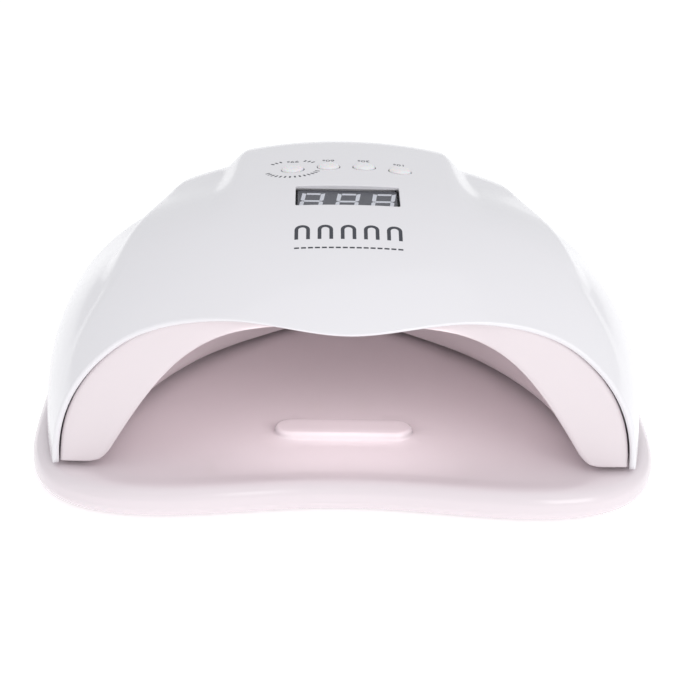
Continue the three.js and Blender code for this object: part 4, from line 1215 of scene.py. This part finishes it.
def make_board_parts(under):
    chips, caps, pads, sockets = (Block(display) for _ in range(4))
    for x, v, (width, depth, height) in BOARD.chips:
        chips.box((x, v, under - height / 2), (width, depth, height), 0.2)
        for leg in centred(int(width / BOARD.leg_pitch), BOARD.leg_pitch):
            for side in (-1, 1):
                pads.box((x + leg, v + side * (depth / 2 + 0.5), under - 0.15), BOARD.leg, 0.05)
    for n, v in enumerate(np.linspace(-8, 34, 11)):
        x = -19 + 3.2 * (n % 3)
        chips.box((x, v, under - 0.3), BOARD.resistor, 0.08)
        for side in (-1, 1):
            pads.box((x + 0.8 * side, v, under - 0.28), BOARD.resistor_end, 0.06)
    for x, v, r, height, shoulder, sides in BOARD.capacitors:
        profile = ((r - 0.1, 0.1), (r, 0.3), (r, height - shoulder), (r - 0.3, height), (1, height + 0.05))
        caps.lathe([(radius, under - z) for radius, z in profile], (x, v, 0), sides=sides)
    for x, v in BOARD.connectors:
        sockets.box((x, v, under - BOARD.connector[2] / 2), BOARD.connector, 0.25)
    chips.piece("control_board_chips", "black", "black_plastic")
    caps.piece("control_board_capacitors", "steel", "screw_steel")
    pads.piece("control_board_solder", "copper", "screw_steel")
    sockets.piece("control_board_connectors", "white", "button_plastic")


def make_switch(name, bottom):
    x, v = button_spot(name)
    half, body = SWITCH.size / 2, bottom + SWITCH.body
    radius, top = SWITCH.plunger_radius, body + SWITCH.plunger
    base = Block(display).slab((half, half), 0.5, bottom, body - 0.3, 0.12, (x, v))
    base.lathe([(radius, body - 0.1), (radius, top - 0.2), (radius - 0.2, top)], (x, v, 0), sides=32)
    base.piece(f"tact_switch_{name}_body", "black", "black_plastic", [f"tact_switch_{name}"])
    cover = Block(display).slab((half - 0.1, half - 0.1), 0.4, body - 0.28, body - 0.12, 0.05, (x, v))
    cover.piece(f"tact_switch_{name}_plate", "steel", "screw_steel")


# ---- buttons and print
def make_buttons():
    stem_low = -BOARD.depth + CLEARANCE + SWITCH.body + SWITCH.plunger + BUTTON.slack
    for name in BUTTON_PLACES:
        spot = np.array(button_spot(name))

        def ring(radius):
            return circle(radius, 64, spot)

        def surface(radius):
            return display.local(on_cover(ring(radius)))[:, 2]

        flange = surface(BUTTON.flange).min() - CAP.slant_allowance * SHELL.wall - CLEARANCE
        low = flange - BUTTON.flange_height
        flat = ((BUTTON.stem - 0.2, stem_low), (BUTTON.stem, stem_low + 0.2), (BUTTON.stem, low),
                (BUTTON.flange - 0.15, low), (BUTTON.flange, low + 0.15), (BUTTON.flange, flange - 0.15),
                (BUTTON.flange - 0.15, flange), (BUTTON.radius, flange))
        rings = [display.world(ring(radius), z) for radius, z in flat]
        for turn in np.linspace(0, 1, 14):
            radius = BUTTON.radius * max(cos(turn * pi / 2) ** CAP.fall, CAP.tip)
            share = (1 - (radius / BUTTON.radius) ** 4) ** (1 / CAP.roundness)
            rings.append(display.world(ring(radius), surface(radius) + CAP.height * BUTTON.rise * share))
        body = f"button_{name}"
        Block().loft(rings).piece(f"{body}_cap", "button", "button_plastic", [body], body)


def ribbon(block, path, width, plane):
    """A thin printed line along a path of a plane, laid on the cover."""
    path = np.asarray(path, float)
    ahead = unit(np.gradient(path, axis=0))
    side = np.stack([-ahead[:, 1], ahead[:, 0]], -1) * width / 2
    edges = []
    for flat in (path + side, path - side):
        points = plane.lift(cover_gap)(flat)
        normals = normals_of(cover_gap, points)
        edges.append((points - PRINT.sunk * normals, points + PRINT.raised * normals))
    (left_low, left_top), (right_low, right_top) = edges
    block.loft(np.stack([left_low, right_low, right_top, left_top], 1))


def print_figures(words, middle):
    """A word as thin raised print on the cover, read from behind the lamp."""
    curve = bpy.data.curves.new("figures", "FONT")
    curve.body = words
    curve.size = FIGURES.size
    curve.align_x = "CENTER"
    curve.extrude = FIGURES.extrude
    curve.resolution_u = 3
    text = bpy.data.objects.new("figures", curve)
    mesh = bpy.data.meshes.new_from_object(text)
    flat = np.array([v.co[:] for v in mesh.vertices])
    points = on_cover(middle - flat[:, :2])
    points += flat[:, 2:] * normals_of(cover_gap, points)
    for v, point in zip(mesh.vertices, points):
        v.co = point * MM
    bpy.data.objects.remove(text)
    return mesh


def make_print():
    for name in BUTTON_PLACES:
        x, v = button_spot(name)
        rise = FIGURES.rise_over_ticks if name == "99s" else FIGURES.rise
        mesh = print_figures(name, np.array((x, v + rise)))
        add_piece(f"button_figures_{name}", mesh, "ink", "display_body")

    spot = np.array(button_spot("99s"))
    lengthwise = np.array([[-TICKS.half_length], [0], [TICKS.half_length]])
    ticks = Block()
    for middle, spread, radius, count in TICKS.arcs:
        for angle in np.radians(np.linspace(middle - spread, middle + spread, count)):
            direction = np.array((cos(angle), sin(angle)))
            ribbon(ticks, spot + direction * (radius + lengthwise), TICKS.width, display)
    ticks.piece("button_ring_print", "ink", "display_body")

    above = Plane((0, MOTIF.y, SHELL.base), (1, 0, 0), (0, 1, 0))
    marks = Block()
    half = (MOTIF.width - MOTIF.stroke) / 2
    straight = MOTIF.height - MOTIF.width / 2
    for x in centred(MOTIF.count, MOTIF.pitch):
        arc = [(x - half * cos(t), straight + half * sin(t)) for t in np.linspace(0, pi, 17)]
        low = [(x - half, y) for y in np.linspace(0, straight, 5)[:-1]]
        ribbon(marks, [*low, *arc, *[(2 * x - a, b) for a, b in low[::-1]]], MOTIF.stroke, above)
    reach_x = MOTIF.dash_share * MOTIF.dash_pitch / 2
    for x in centred(MOTIF.dashes, MOTIF.dash_pitch):
        dash = np.linspace(x - reach_x, x + reach_x, 4)
        ribbon(marks, [(a, MOTIF.dash_y) for a in dash], TICKS.width, above)
    marks.piece("fingertip_motif", "ink", "display_body")


# ---- lamps and sensor
def make_led_boards():
    half = LED.size / 2
    for name, place in LED_BOARDS.items():
        plane = tunnel_plane(place)
        plate = Block(plane).slab((place.across, place.along), 1.5, 0, LED.board, 0.12)
        plate.piece(f"{name}_plate", "led_board", "led_board", [name])
        package, dome, pads = Block(plane), Block(plane), Block(plane)
        for x in place.xs:
            for y in place.ys:
                package.slab((half, half), 0.5, -1.0, -0.02, 0.12, (x, y))
                dome.lathe(LED.dome, (x, y, 0))
                for side in (-1, 1):
                    pad_y = y + side * (half + 0.7)
                    pads.box((x, pad_y, -0.03), (3.2, 1.1, 0.08), 0.02)
                    pads.box((x, pad_y, LED.board + 0.03), (1.6, 1.1, 0.08), 0.02)
        package.piece(f"{name}_packages", "ceramic", "led_board")
        dome.piece(f"{name}_lenses", "phosphor", "clear_plastic")
        pads.piece(f"{name}_pads", "copper", "screw_steel")


def make_sensor():
    plane = tunnel_plane(SENSOR)
    low = SENSOR.board_height - LED.board / 2
    plate = Block(plane).slab((SENSOR.across, SENSOR.along), 1.2, low, low + LED.board, 0.12)
    plate.piece("sensor_board_plate", "board", "circuit_board", ["sensor_board"])
    chip = Block(plane).box((0, 0, low + LED.board + SENSOR.chip[2] / 2), SENSOR.chip, 0.12)
    chip.piece("sensor_board_chip", "black", "black_plastic")
    looks = {"infrared_emitter": (SENSOR.xs[0], "water_clear", "clear_plastic"),
             "infrared_receiver": (SENSOR.xs[1], "infrared", "infrared_plastic")}
    for node, (x, look, slot) in looks.items():
        top, r = low - CLEARANCE, SENSOR.radius
        profile = [(r, top), (r, top - SENSOR.leg)]
        for turn in np.linspace(0.15, 1, 8) * pi / 2:
            profile.append((max(r * cos(turn), 0.2), top - SENSOR.leg - SENSOR.dome * r * sin(turn)))
        block = Block(plane).lathe(profile, (x, 0, 0), sides=48)
        block.piece(f"{node}_dome", look, slot, [node])
        legs = Block(plane)
        for side in (-1, 1):
            legs.box((x + side * SENSOR.pin_reach, 0, low + 0.5), (0.5, 0.5, 1.9), 0.08)
        legs.piece(f"{node}_legs", "copper", "screw_steel")


# ---- power socket
def make_socket():
    _, low, high = middle_of("power_socket")
    face, rear = high[1], low[1]
    shoulder = face - SOCKET.shoulder
    half_x, half_z = (high[0] - low[0]) / 2, (high[2] - low[2]) / 2
    square = rounded_rectangle(half_x, half_z, 0.8)

    def ring(flat, y):
        return np.column_stack([flat[:, 0], np.full(len(flat), y), SOCKET.z + flat[:, 1]])

    def round_to(radius):
        return unit(square) * radius

    rings = [ring(square * 0.96, rear), ring(square, rear + 0.25), ring(square, shoulder - 0.25),
             ring(square * 0.96, shoulder), ring(round_to(SOCKET.radius), shoulder)]
    for radius, y in ((SOCKET.radius, face - 0.35), (SOCKET.radius - 0.35, face), (SOCKET.bore + 0.4, face),
                      (SOCKET.bore, face - 0.4), (SOCKET.bore, face - SOCKET.depth)):
        rings.append(ring(round_to(radius), y))
    Block().loft(rings).piece("power_socket_body", "black", "black_plastic", ["power_socket"])
    _, low, high = middle_of("socket_pin")
    pin = Block().lathe([(1, low[1]), (1, high[1] - 0.8), (0.75, high[1] - 0.25), (0.3, high[1])],
                        (0, 0, SOCKET.z), (0, 1, 0), 32)
    pin.piece("socket_pin_rod", "brass", "brass_pin", ["socket_pin"])
    tags = Block()
    for x in SOCKET.tag_xs:
        tags.box((x, rear - 1.6, SOCKET.z - 1), SOCKET.tag, 0.1)
    tags.piece("power_socket_tags", "copper", "brass_pin")


# ---- wires
def make_wires():
    for name, points in WIRES.items():
        path = through(points, 14)
        ahead = unit(np.gradient(path, axis=0))
        side = unit(np.cross(ahead, ASIDE))
        up = np.cross(ahead, side)
        travelled = np.concatenate([[0], np.cumsum(np.linalg.norm(np.diff(path, axis=0), axis=1))])
        turn = (travelled / WIRE.lay * 2 * pi)[:, None]
        for n, (colour, look) in enumerate((("red", "red"), ("black", "dark"))):
            angle = turn + n * pi
            strand = path + WIRE.radius * (np.cos(angle) * side + np.sin(angle) * up)
            block = Block().tube(strand, WIRE.strand * WIRE.radius)
            block.piece(f"{name}_{colour}", look, "wire", [name] if n == 0 else [])


# ---- screws, magnets, feet and pads
def screw_block(size):
    """A pan-head screw with a crossed recess, head down, its head's underside at height 0."""
    sides, rings = 64, []
    for share in np.linspace(0, 1, 15)[1:] ** 0.9:
        flat = circle(size.head_radius * share, sides)
        dome = size.head_height * (1 - 0.75 * share ** 3.2)
        x, y = np.abs(flat.T) / size.head_radius
        recess = smooth((0.2 - np.minimum(x, y)) / 0.09) * smooth((0.62 - np.maximum(x, y)) / 0.12)
        rings.append(np.column_stack([flat, 0.55 * size.head_height * recess - dome]))
    rings += [level(circle(radius, sides), 0) for radius in (size.head_radius, size.radius)]
    for n, z in enumerate(np.arange(0.4, size.length - 1.2, 0.45)):
        rings.append(level(circle(size.radius * (0.82 if n % 2 else 1), sides), z))
    rings.append(level(circle(0.25 * size.radius, sides), size.length))
    return Block().loft(rings)


def make_screws():
    upright = Plane((0, 0, 0), (1, 0, 0), (0, 1, 0))
    for kind, size, plane in (("liner_screw", SCREW, upright), ("board_screw", BOARD_SCREW, display)):
        mesh = screw_block(size).mesh(f"{kind}_steel", 40)
        mesh.materials.append(MATERIALS["steel"])
        for corner in CORNERS:
            node = f"{kind}_{corner}"
            flat = plane.local(middle_of(node)[0])
            head = flat[2] - (size.length - size.head_height) / 2
            matrix = Plane(plane.world(flat[:2], head), *plane.axes[:2]).matrix()
            matrix.translation *= MM
            piece = link(f"{node}_steel", mesh)
            piece.matrix_world = matrix
            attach(piece, "head")
            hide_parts(node)


# each fitting's node, the (radius, height) points of its lower end, the (radius, depth) points of its
# upper end, its look, slot and body
FITTINGS = (
    ("rubber_foot", ((0.8, 0.45), (1.1, 0.05), (2.2, 0), (2.5, 0.4), (3, 0.4), (3.3, 0), (4.7, 0),
                     (5.3, 0.15), (5.75, 0.6), (6, 1.2)), ((6, 0.1), (5.9, 0)), "rubber", "rubber", "base"),
    ("tray_magnet", ((3.75, 0), (4, 0.25)), ((4, 0.25), (3.75, 0)), "magnet", "magnet_steel", "base"),
    ("catch_plate", ((0.5, 0.3), (1.2, 0.05), (4.3, 0), (4.5, 0.2)), ((4.5, 0.15), (4.35, 0)),
     "steel", "screw_steel", "head"),
    ("head_pad", ((1, 0.02), (2.6, 0.12), (3.2, 0.45), (3.5, 1)), ((3.5, 0.1), (3.4, 0)),
     "pad", "pad_rubber", "head"),
)


def make_fittings():
    for corner in CORNERS:
        for kind, lower, upper, look, slot, body in FITTINGS:
            node = f"{kind}_{corner}"
            middle, low, high = middle_of(node)
            profile = [*lower, *[(radius, high[2] - low[2] - depth) for radius, depth in upper]]
            block = Block().lathe(profile, (middle[0], middle[1], low[2]), sides=56)
            block.piece(f"{node}_disc", look, slot, [node], body)


def make_floor():
    floor = Block().box((0, 0, -5), (12000, 12000, 10), 1)
    mesh = bpy.data.meshes.new("floor")
    floor.work.to_mesh(mesh)
    mesh.transform(Matrix.Scale(MM, 4))
    mesh.materials.append(MATERIALS["floor"])
    link("floor", mesh)


# ---- everything, in order
for make in (make_camera, make_studio, make_cover, make_liner, make_tray, make_display, make_board,
             make_buttons, make_print, make_led_boards, make_sensor, make_socket, make_wires, make_screws,
             make_fittings, make_floor):
    make()
